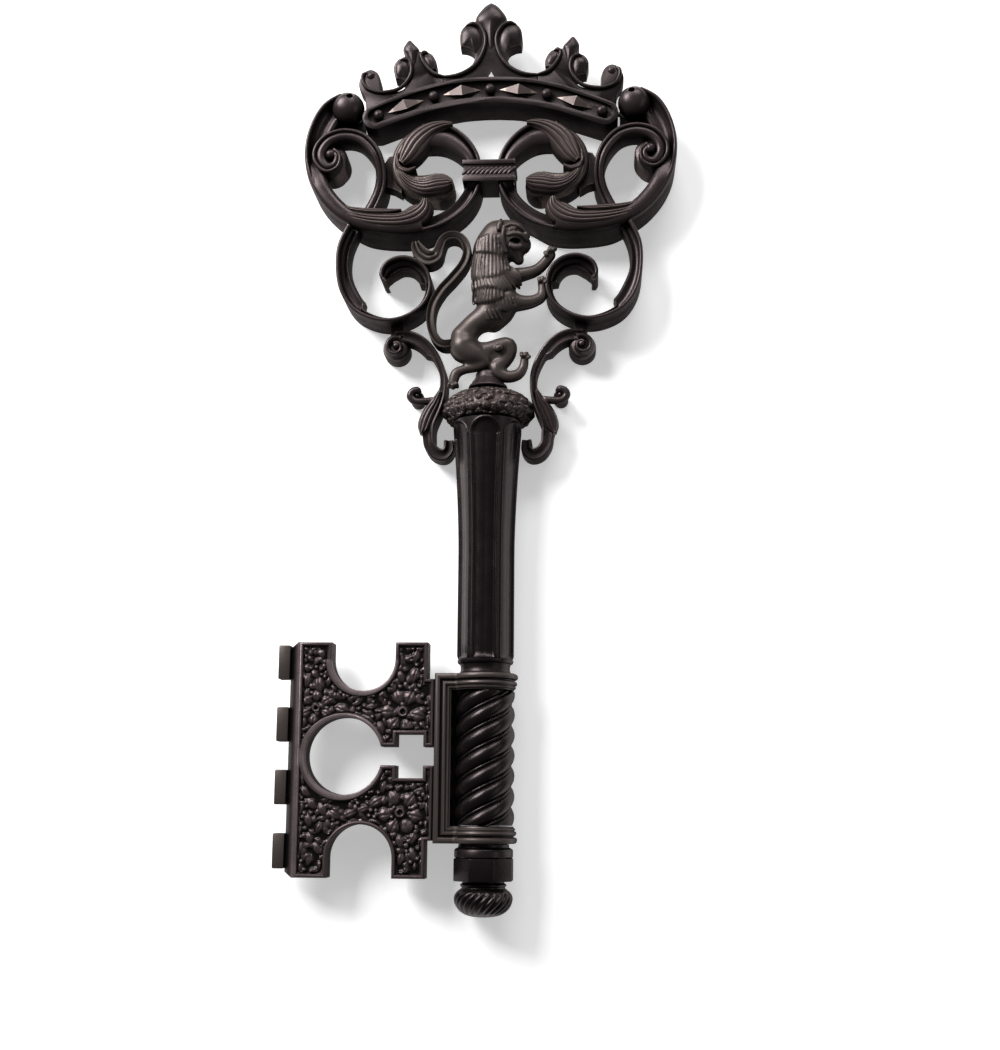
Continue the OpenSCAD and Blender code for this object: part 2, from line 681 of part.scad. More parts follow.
module lion() {
    color(bronze_rubbed) bow() difference() {
        union() {
            chain(lion_torso);
            chain(lion_head);
            chain(lion_jaw);
            chain(lion_high_arm);
            chain(lion_low_arm);
            chain(lion_left_leg);
            chain(lion_right_leg);
            chain(lion_ears);
        }
        translate([0, 0, -bow_lift]) plinth_body(seat_gap);
        translate([0, 0, -bow_lift]) capital_body(seat_gap);
        slab(scroll_depth + 10, -past) other_side() band_outline(heart_line, heart_w, seat_gap);
        slab(scroll_depth + 10, -past) other_side() band_outline(lower_line, lower_w, seat_gap);
        slab(lion_out + tail_t / 2 + seat_gap, lion_out - tail_t / 2 - seat_gap)
            band_outline(tail_line, tail_w, seat_gap);
    }
}

module lion_tail() {
    color(bronze_rubbed) bow() slab(lion_out + tail_t / 2, lion_out - tail_t / 2) difference() {
        band_outline(tail_line, tail_w);
        band_outline(lower_line, lower_w, seat_gap);
        band_outline(heart_line, heart_w, seat_gap);
    }
}

// Rivets through the joints of the left half, grown for their holes
module half_rivets(d) {
    for (r = rivets)
        translate([r[0], -rivet_out, r[1]]) rotate([0, r[2], 0]) translate([0, 0, -r[3] / 2])
            cylinder(d = d, h = r[3]);
}

module scroll_rivets() {
    color(steel) bow() {
        half_rivets(rivet_d);
        other_side() half_rivets(rivet_d);
    }
}

// Coved band: a full-depth rim along its outer edge and a shallower web behind it
module coved(k, w) {
    slab(scroll_depth, 0) strip(k, w, 1, 0, 1, -rim_w);
    slab(scroll_depth - cove_depth, web_back) band_outline(k, w);
}

module leaf_space() {
    slab(scroll_depth + leaf_proud + past, scroll_depth - cove_depth - seat_gap)
        band_outline(leaf_line, leaf_w, seat_gap);
}

module heart_scroll() {
    color(bronze) bow() difference() {
        union() {
            difference() {
                union() {
                    coved(heart_line, heart_w);
                    slab(heart_foot_out, 0) band_outline(heart_foot_line, heart_w);
                    slab(scroll_depth - 2 * cove_depth, 0) difference() {
                        polygon(shoulder_web);
                        band_outline(volute_line, volute_w, seat_gap);
                        band_shape(seat_gap);
                    }
                }
                slab(scroll_depth + past, -past) disc(volute_head, seat_gap);
            }
            translate([ball_at.x, -(scroll_depth + leaf_proud - ball_r), ball_at.y]) sphere(r = ball_r);
            slab(scroll_depth + leaf_proud - ball_r, 0) translate(ball_at) circle(r = ball_r - 1);
        }
        leaf_space();
        translate([-screw_spacing / 2, past, screw_z]) rotate([90, 0, 0])
            cylinder(d = screw_hole_d, h = scroll_depth + ball_r);
        half_rivets(rivet_d + 2 * run_gap);
    }
}

module side_volute() {
    groove = 1.6;
    color(bronze) bow() difference() {
        union() {
            difference() {
                coved(volute_line, volute_w);
                slab(scroll_depth + past, -past) difference() {
                    band_outline(heart_line, heart_w, seat_gap);
                    disc(volute_head);
                }
            }
            slab(scroll_depth - groove, 0) disc(volute_head);
            slab(scroll_depth + 1, scroll_depth - 2 * groove) disc(volute_eye);
        }
        leaf_space();
        half_rivets(rivet_d + 2 * run_gap);
    }
}

module acanthus() {
    color(bronze_rubbed) bow() difference() {
        union() {
            slab(scroll_depth + 1, 2) difference() {
                union() {
                    band_outline(acanthus_line, acanthus_w);
                    disc(acanthus_ball);
                }
                // A grown band keeps its ends, so the heart is also cut out once more beside its end
                for (shift = [0, -seat_gap]) translate([shift, 0])
                    band_outline(heart_line, heart_w, seat_gap);
            }
            slab(lug_out, web_back / 2) difference() {
                polygon(acanthus_lug);
                band_outline(volute_line, volute_w, seat_gap);
            }
            translate([acanthus_ball.x, -scroll_depth + acanthus_ball.z - leaf_proud - 1, acanthus_ball.y])
                sphere(r = acanthus_ball.z - 0.4);
        }
        leaf_space();
        half_rivets(rivet_d + 2 * run_gap);
    }
}

module foot_leaf() {
    color(bronze_rubbed) bow() slab(scroll_depth + leaf_proud, scroll_depth - cove_depth)
        band_outline(leaf_line, leaf_w);
}

module lower_scroll() {
    color(bronze) bow() difference() {
        coved(lower_line, lower_w);
        slab(scroll_depth + past, -past) band_outline(heart_line, heart_w, seat_gap);
        half_rivets(rivet_d + 2 * run_gap);
    }
}

module bracket() {
    color(bronze) difference() {
        bow() difference() {
            union() {
                slab(bracket_depth, 0) {
                    strip(bracket_line, bracket_w, 1, 0, 1, -rim_w * 0.7);
                    strip(bracket_line, bracket_w, -1, rim_w * 0.7, -1, 0);
                    disc(bracket_curl);
                }
                slab(bracket_depth - cove_depth / 2, web_back / 2) {
                    band_outline(bracket_line, bracket_w);
                    band_outline(bracket_curl_line, bracket_w);
                }
                slab(lug_out, web_back / 2) polygon(bracket_lug);
                slab(bracket_depth + 1, 0) disc(bracket_head);
            }
            slab(scroll_depth + past, -past) band_outline(lower_line, lower_w, seat_gap);
            half_rivets(rivet_d + 2 * run_gap);
        }
        capital_body(seat_gap);
        on_axis() cylinder(r = shank_r + shank_flare + seat_gap, h = shank_top);
    }
}

module scroll_collar() {
    bead = 3;
    z = collar_z - collar_h / 2;
    color(bronze_rubbed) bow() difference() {
        union() {
            translate([-collar_half, -scroll_depth - collar_proud + 1.2, z])
                cube([2 * collar_half, scroll_depth + collar_proud - 1.2 - 2, collar_h]);
            for (rim_z = [z, z + collar_h - bead])
                translate([-collar_half - 0.6, -scroll_depth - collar_proud, rim_z])
                    cube([2 * collar_half + 1.2, scroll_depth + collar_proud - 2, bead]);
        }
        slab(scroll_depth + seat_gap, -past) {
            band_outline(heart_line, heart_w, seat_gap);
            other_side() band_outline(heart_line, heart_w, seat_gap);
        }
    }
}

// Crown
module band_shape(grow = 0) {
    end = band_line[0];
    band_outline(band_line, band_w, grow);
    for (s = [-1, 1]) translate([s * end.x, end.y]) circle(r = band_w / 2 * end.z + grow);
}

module band_field(low, top) {
    end = band_line[0];
    strip(band_line, band_w, 1, -low, -1, top);
    for (s = [-1, 1]) translate([s * end.x, end.y + (low - top) / 2])
        circle(r = band_w / 2 * end.z - (low + top) / 2);
}

hanger_z = 548;
hanger_screw_z = hanger_z - 5.4;
knuckle_r = wire_d / 2 + run_gap + 1.3;
hanger_out = knuckle_r + 0.6;
strap_back = hanger_out + wire_d / 2 + run_gap + 0.6;
band_pocket = strap_back + strap_t + seat_gap;

module crown_band() {
    skirt = 3;
    notch = hanger_bow_r + wire_d;
    color(bronze) bow() difference() {
        slab(band_depth, 0) band_shape();
        slab(band_depth + past, band_depth - band_recess) band_field(band_low_rim, band_top_rim);
        slab(band_pocket, -past) band_field(skirt, skirt);
        slab(band_pocket, -past) translate([-notch, hanger_z - knuckle_r - past])
            square([2 * notch, band_w]);
        slab(scroll_depth + ball_r, -past) for (s = [-1, 1]) translate([s * ball_at.x, ball_at.y])
            circle(r = ball_r + seat_gap);
        translate([0, -band_pocket + past, hanger_screw_z]) rotate([90, 0, 0])
            cylinder(d = rivet_d + 2 * run_gap, h = hanger_screw_l + past);
        half_rivets(rivet_d + 2 * run_gap);
        other_side() half_rivets(rivet_d + 2 * run_gap);
    }
}

// Height of the middle of the band's recess at a place along it
function band_z(x) =
    let (p = curve(band_line, 12), i = [for (j = [0:len(p) - 2]) if (p[j].x <= x && p[j + 1].x > x) j][0])
        p[i].y + (p[i + 1].y - p[i].y) * (x - p[i].x) / (p[i + 1].x - p[i].x)
        + (band_low_rim - band_top_rim) / 2;

function band_turn(x) = -atan2(band_z(x + 1) - band_z(x - 1), 2);

pearl_pitch = 38.2;
band_floor = band_depth - band_recess;

module crown_pearls() {
    color(bronze_rubbed) bow() for (i = [-2:2]) {
        x = i * pearl_pitch * (abs(i) == 2 ? 0.985 : 1);
        translate([x, -band_floor - seat_gap / 2, band_z(x)]) rotate([90, 0, 0]) {
            cylinder(r = pearl_r * 0.85, h = 1.4);
            translate([0, 0, 1.4]) intersection() {
                sphere(r = pearl_r);
                cylinder(r = pearl_r, h = pearl_r);
            }
        }
    }
}

module crown_lozenges() {
    corner = [lozenge_l / 2, lozenge_w / 2];
    ridge = corner.y * 0.84;
    color(bronze_rubbed) bow() for (i = [-1.5:1:1.5]) {
        x = i * pearl_pitch;
        translate([x, -band_floor - seat_gap / 2, band_z(x)]) rotate([0, band_turn(x), 0])
            polyhedron(
                points = [[-corner.x, 0, 0], [0, 0, -corner.y], [corner.x, 0, 0], [0, 0, corner.y],
                    [0, -lozenge_out, -ridge], [0, -lozenge_out, ridge]],
                faces = [[0, 3, 2, 1], [0, 1, 4], [1, 2, 4], [2, 3, 5], [3, 0, 5], [0, 4, 5], [4, 2, 5]]
            );
    }
}

module crest_slab() {
    slab(crest_back + crest_t, crest_back) difference() {
        children();
        band_shape(seat_gap);
        for (s = [-1, 1]) translate([s * ball_at.x, ball_at.y]) circle(r = ball_r + seat_gap);
    }
}

fleur_foot = 540;

// Right side of the middle cresting, from its tip to the foot
fleur_side = concat(open_end(curve(fleur_tip)), open_end(curve(fleur_lobe)), curve(fleur_arm),
    [[fleur_arm[len(fleur_arm) - 1].x, fleur_foot]]);

module fleur_centre() {
    color(bronze) bow() difference() {
        crest_slab() difference() {
            polygon(concat(
                fleur_side,
                [for (i = [len(fleur_side) - 1:-1:1]) [-fleur_side[i].x, fleur_side[i].y]]
            ));
            disc(fleur_gap);
        }
        half_rivets(rivet_d + 2 * run_gap);
        other_side() half_rivets(rivet_d + 2 * run_gap);
    }
}

module side_fleur() {
    color(bronze) bow() difference() {
        crest_slab() polygon(concat(open_end(curve(side_inner)), open_end(curve(side_inner_lobe)),
            open_end(curve(side_tip)), open_end(curve(side_outer_lobe)), open_end(curve(side_arm)),
            curve(end_curl), side_foot));
        half_rivets(rivet_d + 2 * run_gap);
    }
}

// Hanger
hanger_screw_l = 8;

module hanger_strap() {
    drop = 9.4;
    color(steel) bow() difference() {
        union() {
            translate([-strap_w / 2, -strap_back - strap_t, hanger_z - drop]) cube([strap_w, strap_t, drop]);
            translate([-strap_w / 2, -hanger_out, hanger_z]) rotate([0, 90, 0])
                cylinder(r = knuckle_r, h = strap_w);
        }
        translate([-strap_w, -hanger_out, hanger_z]) rotate([0, 90, 0])
            cylinder(d = wire_d + 2 * run_gap, h = 2 * strap_w);
        translate([0, 0, hanger_screw_z]) rotate([90, 0, 0])
            cylinder(d = rivet_d + 2 * run_gap, h = 2 * band_pocket);
    }
}

module hanger_screw() {
    head_t = 0.6;
    color(steel) bow() translate([0, -strap_back + head_t, hanger_screw_z]) rotate([90, 0, 0]) {
        cylinder(r = rivet_d * 0.75, h = head_t - run_gap);
        cylinder(d = rivet_d, h = hanger_screw_l);
    }
}

module hanger_ring() {
    color(steel) bow() translate([0, -hanger_out, hanger_z]) {
        translate([-hanger_bow_r, 0, 0]) rotate([0, 90, 0]) cylinder(d = wire_d, h = 2 * hanger_bow_r);
        rotate([90, 0, 0]) rotate([0, 0, 180]) rotate_extrude(angle = 180)
            translate([hanger_bow_r, 0]) circle(d = wire_d);
        for (s = [-1, 1]) translate([s * hanger_bow_r, 0, 0]) sphere(d = wire_d);
    }
}

// Moves the origin to the middle of the wall screw holes
module placed() {
    translate([0, 0, -origin_z]) children();
}

placed() end_knob();
placed() octagon_collar();
placed() collar_ring();
placed() bit_frame();
placed() twist_barrel();
placed() bit_plate();
placed() bit_teeth();
placed() bit_screws();
placed() shank_neck();
placed() shank();
placed() capital();
placed() rod_nut();
placed() tie_rod();
placed() lion_plinth();
placed() lion();
placed() lion_tail();
placed() bracket();  // bracket_left
placed() other_side() bracket();  // bracket_right
placed() lower_scroll();  // lower_scroll_left
placed() other_side() lower_scroll();  // lower_scroll_right
placed() heart_scroll();  // heart_scroll_left
placed() other_side() heart_scroll();  // heart_scroll_right
placed() side_volute();  // side_volute_left
placed() other_side() side_volute();  // side_volute_right
placed() acanthus();  // acanthus_left
placed() other_side() acanthus();  // acanthus_right
placed() foot_leaf();  // foot_leaf_left
placed() other_side() foot_leaf();  // foot_leaf_right
placed() scroll_collar();
placed() scroll_rivets();
placed() crown_band();
placed() crown_pearls();
placed() crown_lozenges();
placed() fleur_centre();
placed() side_fleur();  // fleur_left
placed() other_side() side_fleur();  // fleur_right
placed() hanger_strap();
placed() hanger_screw();
placed() hanger_ring();
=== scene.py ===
"""Looks of the skeleton key wall plaque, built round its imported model."""
import json
import math

import bmesh
import bpy
import numpy as np
from mathutils import Matrix, Vector


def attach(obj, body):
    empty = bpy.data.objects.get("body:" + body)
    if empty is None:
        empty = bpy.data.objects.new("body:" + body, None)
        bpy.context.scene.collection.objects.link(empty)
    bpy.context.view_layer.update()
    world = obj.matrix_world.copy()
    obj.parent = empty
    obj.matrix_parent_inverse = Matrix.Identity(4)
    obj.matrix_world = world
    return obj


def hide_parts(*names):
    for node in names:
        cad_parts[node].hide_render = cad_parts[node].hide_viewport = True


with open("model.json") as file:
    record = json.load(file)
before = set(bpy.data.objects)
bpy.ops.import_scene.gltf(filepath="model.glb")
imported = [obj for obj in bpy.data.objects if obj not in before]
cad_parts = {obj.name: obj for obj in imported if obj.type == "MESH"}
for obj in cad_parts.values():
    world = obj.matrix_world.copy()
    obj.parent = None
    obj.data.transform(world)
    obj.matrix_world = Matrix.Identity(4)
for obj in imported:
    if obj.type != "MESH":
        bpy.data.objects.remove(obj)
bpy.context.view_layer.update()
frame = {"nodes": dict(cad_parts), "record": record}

MM = 0.001
# Height of the wall screw holes above the foot of the end knob. Heights in mm run from that foot
ORIGIN_Z = 538.5
# Distance of the stem's axis from the wall
AXIS_OUT = 19.0


# Finishes
def paint(code):
    """Linear colour of an sRGB hex value."""
    parts = [int(code[i:i + 2], 16) / 255 for i in (1, 3, 5)]
    return tuple(c / 12.92 if c <= 0.04045 else ((c + 0.055) / 1.055) ** 2.4 for c in parts) + (1.0,)


def add(tree, kind, inputs=None, **settings):
    """Adds a node with its settings and its links or values."""
    node = tree.nodes.new(kind)
    for key, value in settings.items():
        setattr(node, key, value)
    for key, value in (inputs or {}).items():
        if isinstance(value, bpy.types.NodeSocket):
            tree.links.new(value, node.inputs[key])
        else:
            node.inputs[key].default_value = value
    return node


def out_of(tree, kind, inputs=None, **settings):
    """First output of a new node."""
    return add(tree, kind, inputs, **settings).outputs[0]


def new_material(name):
    material = bpy.data.materials.new(name)
    material.use_nodes = True
    material.node_tree.nodes.clear()
    return material, material.node_tree


def ramp(tree, factor, stops):
    """Colour that runs through its stops, each a place and a colour."""
    node = add(tree, "ShaderNodeValToRGB", {"Fac": factor})
    while len(node.color_ramp.elements) < len(stops):
        node.color_ramp.elements.new(0.5)
    for element, (place, colour) in zip(node.color_ramp.elements, stops):
        element.position = place
        element.color = colour
    return node.outputs["Color"]


def math_of(tree, operation, a, b, c=0.0):
    return out_of(tree, "ShaderNodeMath", {0: a, 1: b, 2: c}, operation=operation)


def ranged(tree, value, low, high, to_low=0.0, to_high=1.0):
    """Value taken from one range to another and held within it."""
    node = add(tree, "ShaderNodeMapRange", {
        "Value": value, "From Min": low, "From Max": high, "To Min": to_low, "To Max": to_high})
    return node.outputs["Result"]


def noise(tree, place, scale, detail, roughness=0.5):
    node = add(tree, "ShaderNodeTexNoise", {
        "Vector": place, "Scale": scale, "Detail": detail, "Roughness": roughness})
    return node.outputs["Fac"]


def mixed(tree, under, over, share):
    node = add(tree, "ShaderNodeMix", {"A": under, "B": over, "Factor": share}, data_type="RGBA")
    return node.outputs["Result"]


# Texture scales: casting grain of about 0.6 mm and cloudy patches of about 12 mm
GRAIN_SCALE, CLOUD_SCALE = 1600.0, 85.0
# How far round a point its hollows and its edges are felt, and the height of the grain, in metres
HOLLOW_REACH, EDGE_REACH, GRAIN_DEPTH = 0.005, 0.0016, 0.00022
# Specular level of the matt side walls and of the fronts
WALL_SHINE, FRONT_SHINE = 0.04, 0.36
BLACK, WHITE = (0, 0, 0, 1), (1, 1, 1, 1)


def antiqued(name, dark, body, rubbed, wear, roughness, brush=None, relief=None):
    """Cast metal under a blackened patina: near black in the hollows, rubbed brown on the high
    spots, satin gloss, fine grain and cloudy patches. Side walls, which turn away from the front,
    are painted near black as shade, and have a low specular level. relief holds two distances from
    the wall: ground below the first is dark too, and clears towards the second. brush draws fine
    lines, at a scale for each axis."""
    material, tree = new_material(name)
    coordinates = add(tree, "ShaderNodeTexCoord")
    place = coordinates.outputs["Object"]
    facing = add(tree, "ShaderNodeSeparateXYZ", {"Vector": coordinates.outputs["Normal"]})
    front = ranged(tree, facing.outputs["Y"], -0.1, -0.5)
    clouds = noise(tree, place, CLOUD_SCALE, 4.0, 0.6)
    grain = noise(tree, place, GRAIN_SCALE, 3.0, 0.55)
    hollow = add(tree, "ShaderNodeAmbientOcclusion", {"Distance": HOLLOW_REACH}, samples=8)
    edge = add(tree, "ShaderNodeAmbientOcclusion", {"Distance": EDGE_REACH}, samples=8,
               inside=True, only_local=True)
    clear_of_patina_and_painted_shade = ramp(tree, hollow.outputs["AO"], [(0.35, BLACK), (0.95, WHITE)])
    # Painted shade: faces that turn away from the front, mostly the side walls, take the dark colour
    clear_of_patina_and_painted_shade = math_of(tree, "MULTIPLY", clear_of_patina_and_painted_shade, front)
    if relief:
        level = add(tree, "ShaderNodeSeparateXYZ", {"Vector": place}).outputs["Y"]
        raised = ranged(tree, level, -relief[0] * MM, -relief[1] * MM)
        clear_of_patina_and_painted_shade = math_of(tree, "MULTIPLY", clear_of_patina_and_painted_shade, raised)
    worn = ranged(tree, edge.outputs["AO"], 0.35, 0.75, 1.0, 0.0)
    patch = ranged(tree, clouds, 0.32, 0.68, 0.45, 1.0)
    wear_share = math_of(tree, "MULTIPLY", math_of(tree, "MULTIPLY", worn, patch), wear)
    base = mixed(tree, paint(dark), paint(body), clear_of_patina_and_painted_shade)
    gloss = ranged(tree, clouds, 0.3, 0.7, roughness + 0.2, roughness + 0.32)
    height = grain
    if brush:
        stroke = add(tree, "ShaderNodeMapping", {"Vector": place, "Scale": brush})
        height = math_of(tree, "ADD", grain, noise(tree, stroke.outputs["Vector"], 1.0, 2.0))
    bump = add(tree, "ShaderNodeBump", {"Height": height, "Strength": 0.35, "Distance": GRAIN_DEPTH})
    surface = add(tree, "ShaderNodeBsdfPrincipled", {
        "Base Color": mixed(tree, base, paint(rubbed), wear_share),
        "Metallic": math_of(tree, "MULTIPLY_ADD", wear_share, 0.5, 0.3),
        "Roughness": math_of(tree, "MULTIPLY_ADD", front, -0.25, gloss), "Normal": bump.outputs["Normal"],
        "Specular IOR Level": ranged(tree, front, 0.0, 1.0, WALL_SHINE, FRONT_SHINE),
        "Specular Tint": paint("#ffebec")})
    add(tree, "ShaderNodeOutputMaterial", {"Surface": surface.outputs["BSDF"]})
    return material


# The first colour of each finish fills the hollows as patina and the side walls as painted shade
# Cast aluminium blackened to oil-rubbed bronze: nearly black, with soft brownish grey highlights
CAST = antiqued("blackened_casting", "#080506", "#191415", "#5b5252", 0.2, 0.31)
# The same casting with its relief rubbed back: warmer and lighter on the high spots
RUBBED = antiqued("rubbed_casting", "#080506", "#251e1f", "#7d7272", 0.45, 0.33)
# The turned stem pieces, least rubbed and blackest
STEM_BLACK = antiqued("blackened_stem_casting", "#060405", "#120e0f", "#4c4445", 0.18, 0.27)
# Scrollwork, with its rims rubbed by handling
SCROLL = antiqued("blackened_scroll_casting", "#090607", "#2c2526", "#8a7f7b", 0.6, 0.3)
# The carved ground of the bit: black between its leaves, which stand 1 to 2 mm proud of it
FOLIAGE = antiqued("rubbed_foliage_casting", "#0a0708", "#443a3b", "#9a8c8d", 0.6, 0.28,
                   relief=(25.0, 26.4))
# Smoother pieces rubbed all over to a satin brown
SATIN = antiqued("rubbed_satin_casting", "#0b0908", "#403a37", "#857d78", 0.45, 0.38)
# Ribbed leaves, rubbed most, so that their ridges show a warm brown
LEAF = antiqued("rubbed_leaf_casting", "#0b0808", "#403836", "#94897f", 0.55, 0.34)
# The shank, with the fine lengthwise lines that its moulding left, drawn about 0.9 mm apart
SHANK = antiqued("blackened_shank_casting", "#080506", "#120e0f", "#484041", 0.2, 0.28,
                 brush=(1100.0, 1100.0, 14.0))


def zinc_plate():
    """Zinc-plated steel: pale grey with a faint crystalline mottle of about 2 mm."""
    material, tree = new_material("zinc_plated_steel")
    place = add(tree, "ShaderNodeTexCoord").outputs["Object"]
    mottle = add(tree, "ShaderNodeTexVoronoi", {"Vector": place, "Scale": 480.0})
    tone = ramp(tree, mottle.outputs["Distance"], [(0.0, paint("#8b8d91")), (1.0, paint("#a9abae"))])
    surface = add(tree, "ShaderNodeBsdfPrincipled",
                  {"Base Color": tone, "Metallic": 1.0, "Roughness": 0.33})
    add(tree, "ShaderNodeOutputMaterial", {"Surface": surface.outputs["BSDF"]})
    return material


STEEL = zinc_plate()


# Mesh tools
def linked(name, data):
    """A new object in the scene."""
    piece = bpy.data.objects.new(name, data)
    bpy.context.scene.collection.objects.link(piece)
    return piece


def make(name, shape, material, smooth=38.0):
    """A mesh object from a shape, which is its points in mm, with heights above the foot, and its
    faces. Points behind the wall's face are brought up to it."""
    points, faces = shape
    co = np.array(points, float)
    co[:, 1] = np.minimum(co[:, 1], 0.0)
    co[:, 2] -= ORIGIN_Z
    mesh = bpy.data.meshes.new(name)
    mesh.from_pydata((co * MM).tolist(), [], faces)
    tidy(mesh, smooth)
    mesh.materials.append(material)
    return linked(name, mesh)


def tidy(mesh, smooth=38.0):
    """Merges double points, turns faces outwards and marks edges sharper than an angle."""
    bm = bmesh.new()
    bm.from_mesh(mesh)
    bmesh.ops.remove_doubles(bm, verts=bm.verts, dist=2e-6)
    bmesh.ops.recalc_face_normals(bm, faces=bm.faces)
    limit = math.radians(smooth)
    for edge in bm.edges:
        edge.smooth = len(edge.link_faces) == 2 and edge.calc_face_angle(0.0) < limit
    for face in bm.faces:
        face.smooth = True
    bm.to_mesh(mesh)
    bm.free()


def points_of(piece):
    """Points of a piece in metres, as rows of x, y and z."""
    co = np.empty(len(piece.data.vertices) * 3)
    piece.data.vertices.foreach_get("co", co)
    return co.reshape(-1, 3)


def flipped(points, faces):
    """The same shape on the other side of the middle plane."""
    other = np.array(points, float)
    other[:, 0] *= -1
    return other, [tuple(reversed(f)) for f in faces]


def joined(*parts):
    """Several (points, faces) shapes as one."""
    points, faces, start = [], [], 0
    for p, f in parts:
        points.append(np.asarray(p, float))
        faces += [tuple(i + start for i in face) for face in f]
        start += len(p)
    return np.concatenate(points), faces


def capped(rings):
    """Closed shape through rings of the same number of points."""
    rings = [np.asarray(r, float) for r in rings]
    n = len(rings[0])
    last = (len(rings) - 1) * n
    faces = [(k + j, k + (j + 1) % n, k + n + (j + 1) % n, k + n + j)
             for k in range(0, last, n) for j in range(n)]
    faces += [tuple(reversed(range(n))), tuple(range(last, last + n))]
    return np.concatenate(rings), faces


def slab(loop, *outs):
    """Shape that has the same outline at each distance from the wall."""
    return capped([np.insert(np.asarray(loop, float), 1, -out, axis=1) for out in outs])


def inset(loop, distance):
    """The loop moved inwards, which is to the left of its run, with square corners kept."""
    step = np.roll(loop, -1, 0) - loop
    length = np.linalg.norm(step, axis=1)[:, None]
    after = np.stack([-step[:, 1], step[:, 0]], 1) / np.maximum(length, 1e-9)
    before = np.roll(after, 1, 0)
    return loop + distance * (after + before) / (1 + (after * before).sum(1))[:, None]


def stepped(loop, steps):
    """Shape through insets of an outline. steps: how far in, and the distance from the wall."""
    return capped([np.insert(inset(loop, d), 1, -out, axis=1) for d, out in steps])


def around(count):
    """Angles of a full turn, in equal steps."""
    return np.linspace(0, 2 * math.pi, count, endpoint=False)


def level_ring(radius, angle, z, out=AXIS_OUT):
    """Level ring about an upright axis in the middle plane, at a distance from the wall."""
    return np.stack([radius * np.cos(angle), radius * np.sin(angle) - out, np.full_like(angle, z)], 1)


def curve(knots, steps):
    """Smooth run through knots, which may carry a share of the width as a third number."""
    k = np.asarray(knots, float)
    out = []
    for i in range(len(k) - 1):
        a, b, c, d = k[max(i - 1, 0)], k[i], k[i + 1], k[min(i + 2, len(k) - 1)]
        for j in range(steps):
            t = j / steps
            out.append(0.5 * (2 * b + (c - a) * t + (2 * a - 5 * b + 4 * c - d) * t * t
                              + (3 * b - a - 3 * c + d) * t ** 3))
    out.append(k[-1])
    return np.array(out)


def run_of(line):
    """Heading at each point of a run in the front view."""
    step = np.gradient(line[:, :2], axis=0)
    return step / np.maximum(np.linalg.norm(step, axis=1), 1e-9)[:, None]


def ribbon(knots, width, section, steps):
    """Band along a run. section(u) gives rows of share of the half width to the right of the run,
    distance added to it, and distance from the wall, at knot number u."""
    line = curve(knots, steps)
    head = run_of(line)
    rings = []
    for i, (x, z, share) in enumerate(line):
        rows = np.asarray(section(i / steps), float)
        off = rows[:, 0] * width / 2 * share + rows[:, 1]
        rings.append(np.stack([x + off * head[i, 1], -rows[:, 2], z - off * head[i, 0]], 1))
    return capped(rings)


def turned(profile, segments=48):
    """Shape turned about the stem's axis through rows of radius and height."""
    return capped([level_ring(radius, around(segments), z) for radius, z in profile])


def boss(profile, x, z, segments=48):
    """Shape turned about a line straight out of the wall, through rows of radius and distance out."""
    angle = around(segments)
    return capped([np.stack([x + radius * np.cos(angle), np.full_like(angle, -out),
                             z + radius * np.sin(angle)], 1) for radius, out in profile])


def pair(name, shape, material, slot="castings", smooth=38.0):
    """Left and right pieces of one shape, which replace the CAD nodes of the same name."""
    made = []
    for side, half in (("left", shape), ("right", flipped(*shape))):
        made.append(cast(f"{name}_{side}_cast", half, material, f"{name}_{side}", slot=slot, smooth=smooth))
    return made


def dress(piece, *nodes, slot="castings"):
    """Lets a piece ride with the plaque and stand for CAD nodes. slot is not used."""
    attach(piece, "plaque")
    if nodes:
        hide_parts(*nodes)
    return piece


def cast(name, shape, material, *nodes, slot="castings", smooth=38.0):
    """A new piece of the plaque."""
    return dress(make(name, shape, material, smooth), *nodes, slot=slot)


def applied(piece):
    """Turns a piece with modifiers into its plain result."""
    graph = bpy.context.evaluated_depsgraph_get()
    mesh = bpy.data.meshes.new_from_object(piece.evaluated_get(graph))
    old = piece.data
    piece.modifiers.clear()
    piece.data = mesh
    mesh.name = piece.name
    bpy.data.meshes.remove(old)
    return piece


def cut_away(piece, shape, name):
    """Cuts a shape out of a piece."""
    tool = make(name, shape, CAST)
    cut = piece.modifiers.new(name, "BOOLEAN")
    cut.object = tool
    cut.solver = "EXACT"
    cut.use_self = True
    applied(piece)
    bpy.data.objects.remove(tool)


def swept(path, radii, sides):
    """Round bar along a path of points, with a radius at each."""
    headings = np.gradient(path, axis=0)
    headings /= np.linalg.norm(headings, axis=1)[:, None]
    angle = around(sides)
    rings = []
    for point, heading, radius in zip(path, headings, radii):
        side = np.cross(heading, [0, 1, 0])
        side /= np.linalg.norm(side)
        other = np.cross(side, heading)
        rings.append(point + radius * (np.outer(np.cos(angle), side) + np.outer(np.sin(angle), other)))
    return capped(rings)


def tube(knots, radius):
    """Round moulding through knots of x, distance from the wall and z, tapered at both ends."""
    line = curve(knots, 6)
    to_end = np.minimum(np.arange(len(line)), np.arange(len(line))[::-1])
    return swept(line * [1, -1, 1], radius * np.minimum(1.0, 0.35 + 0.65 * to_end / 6), 12)


# Scrolls

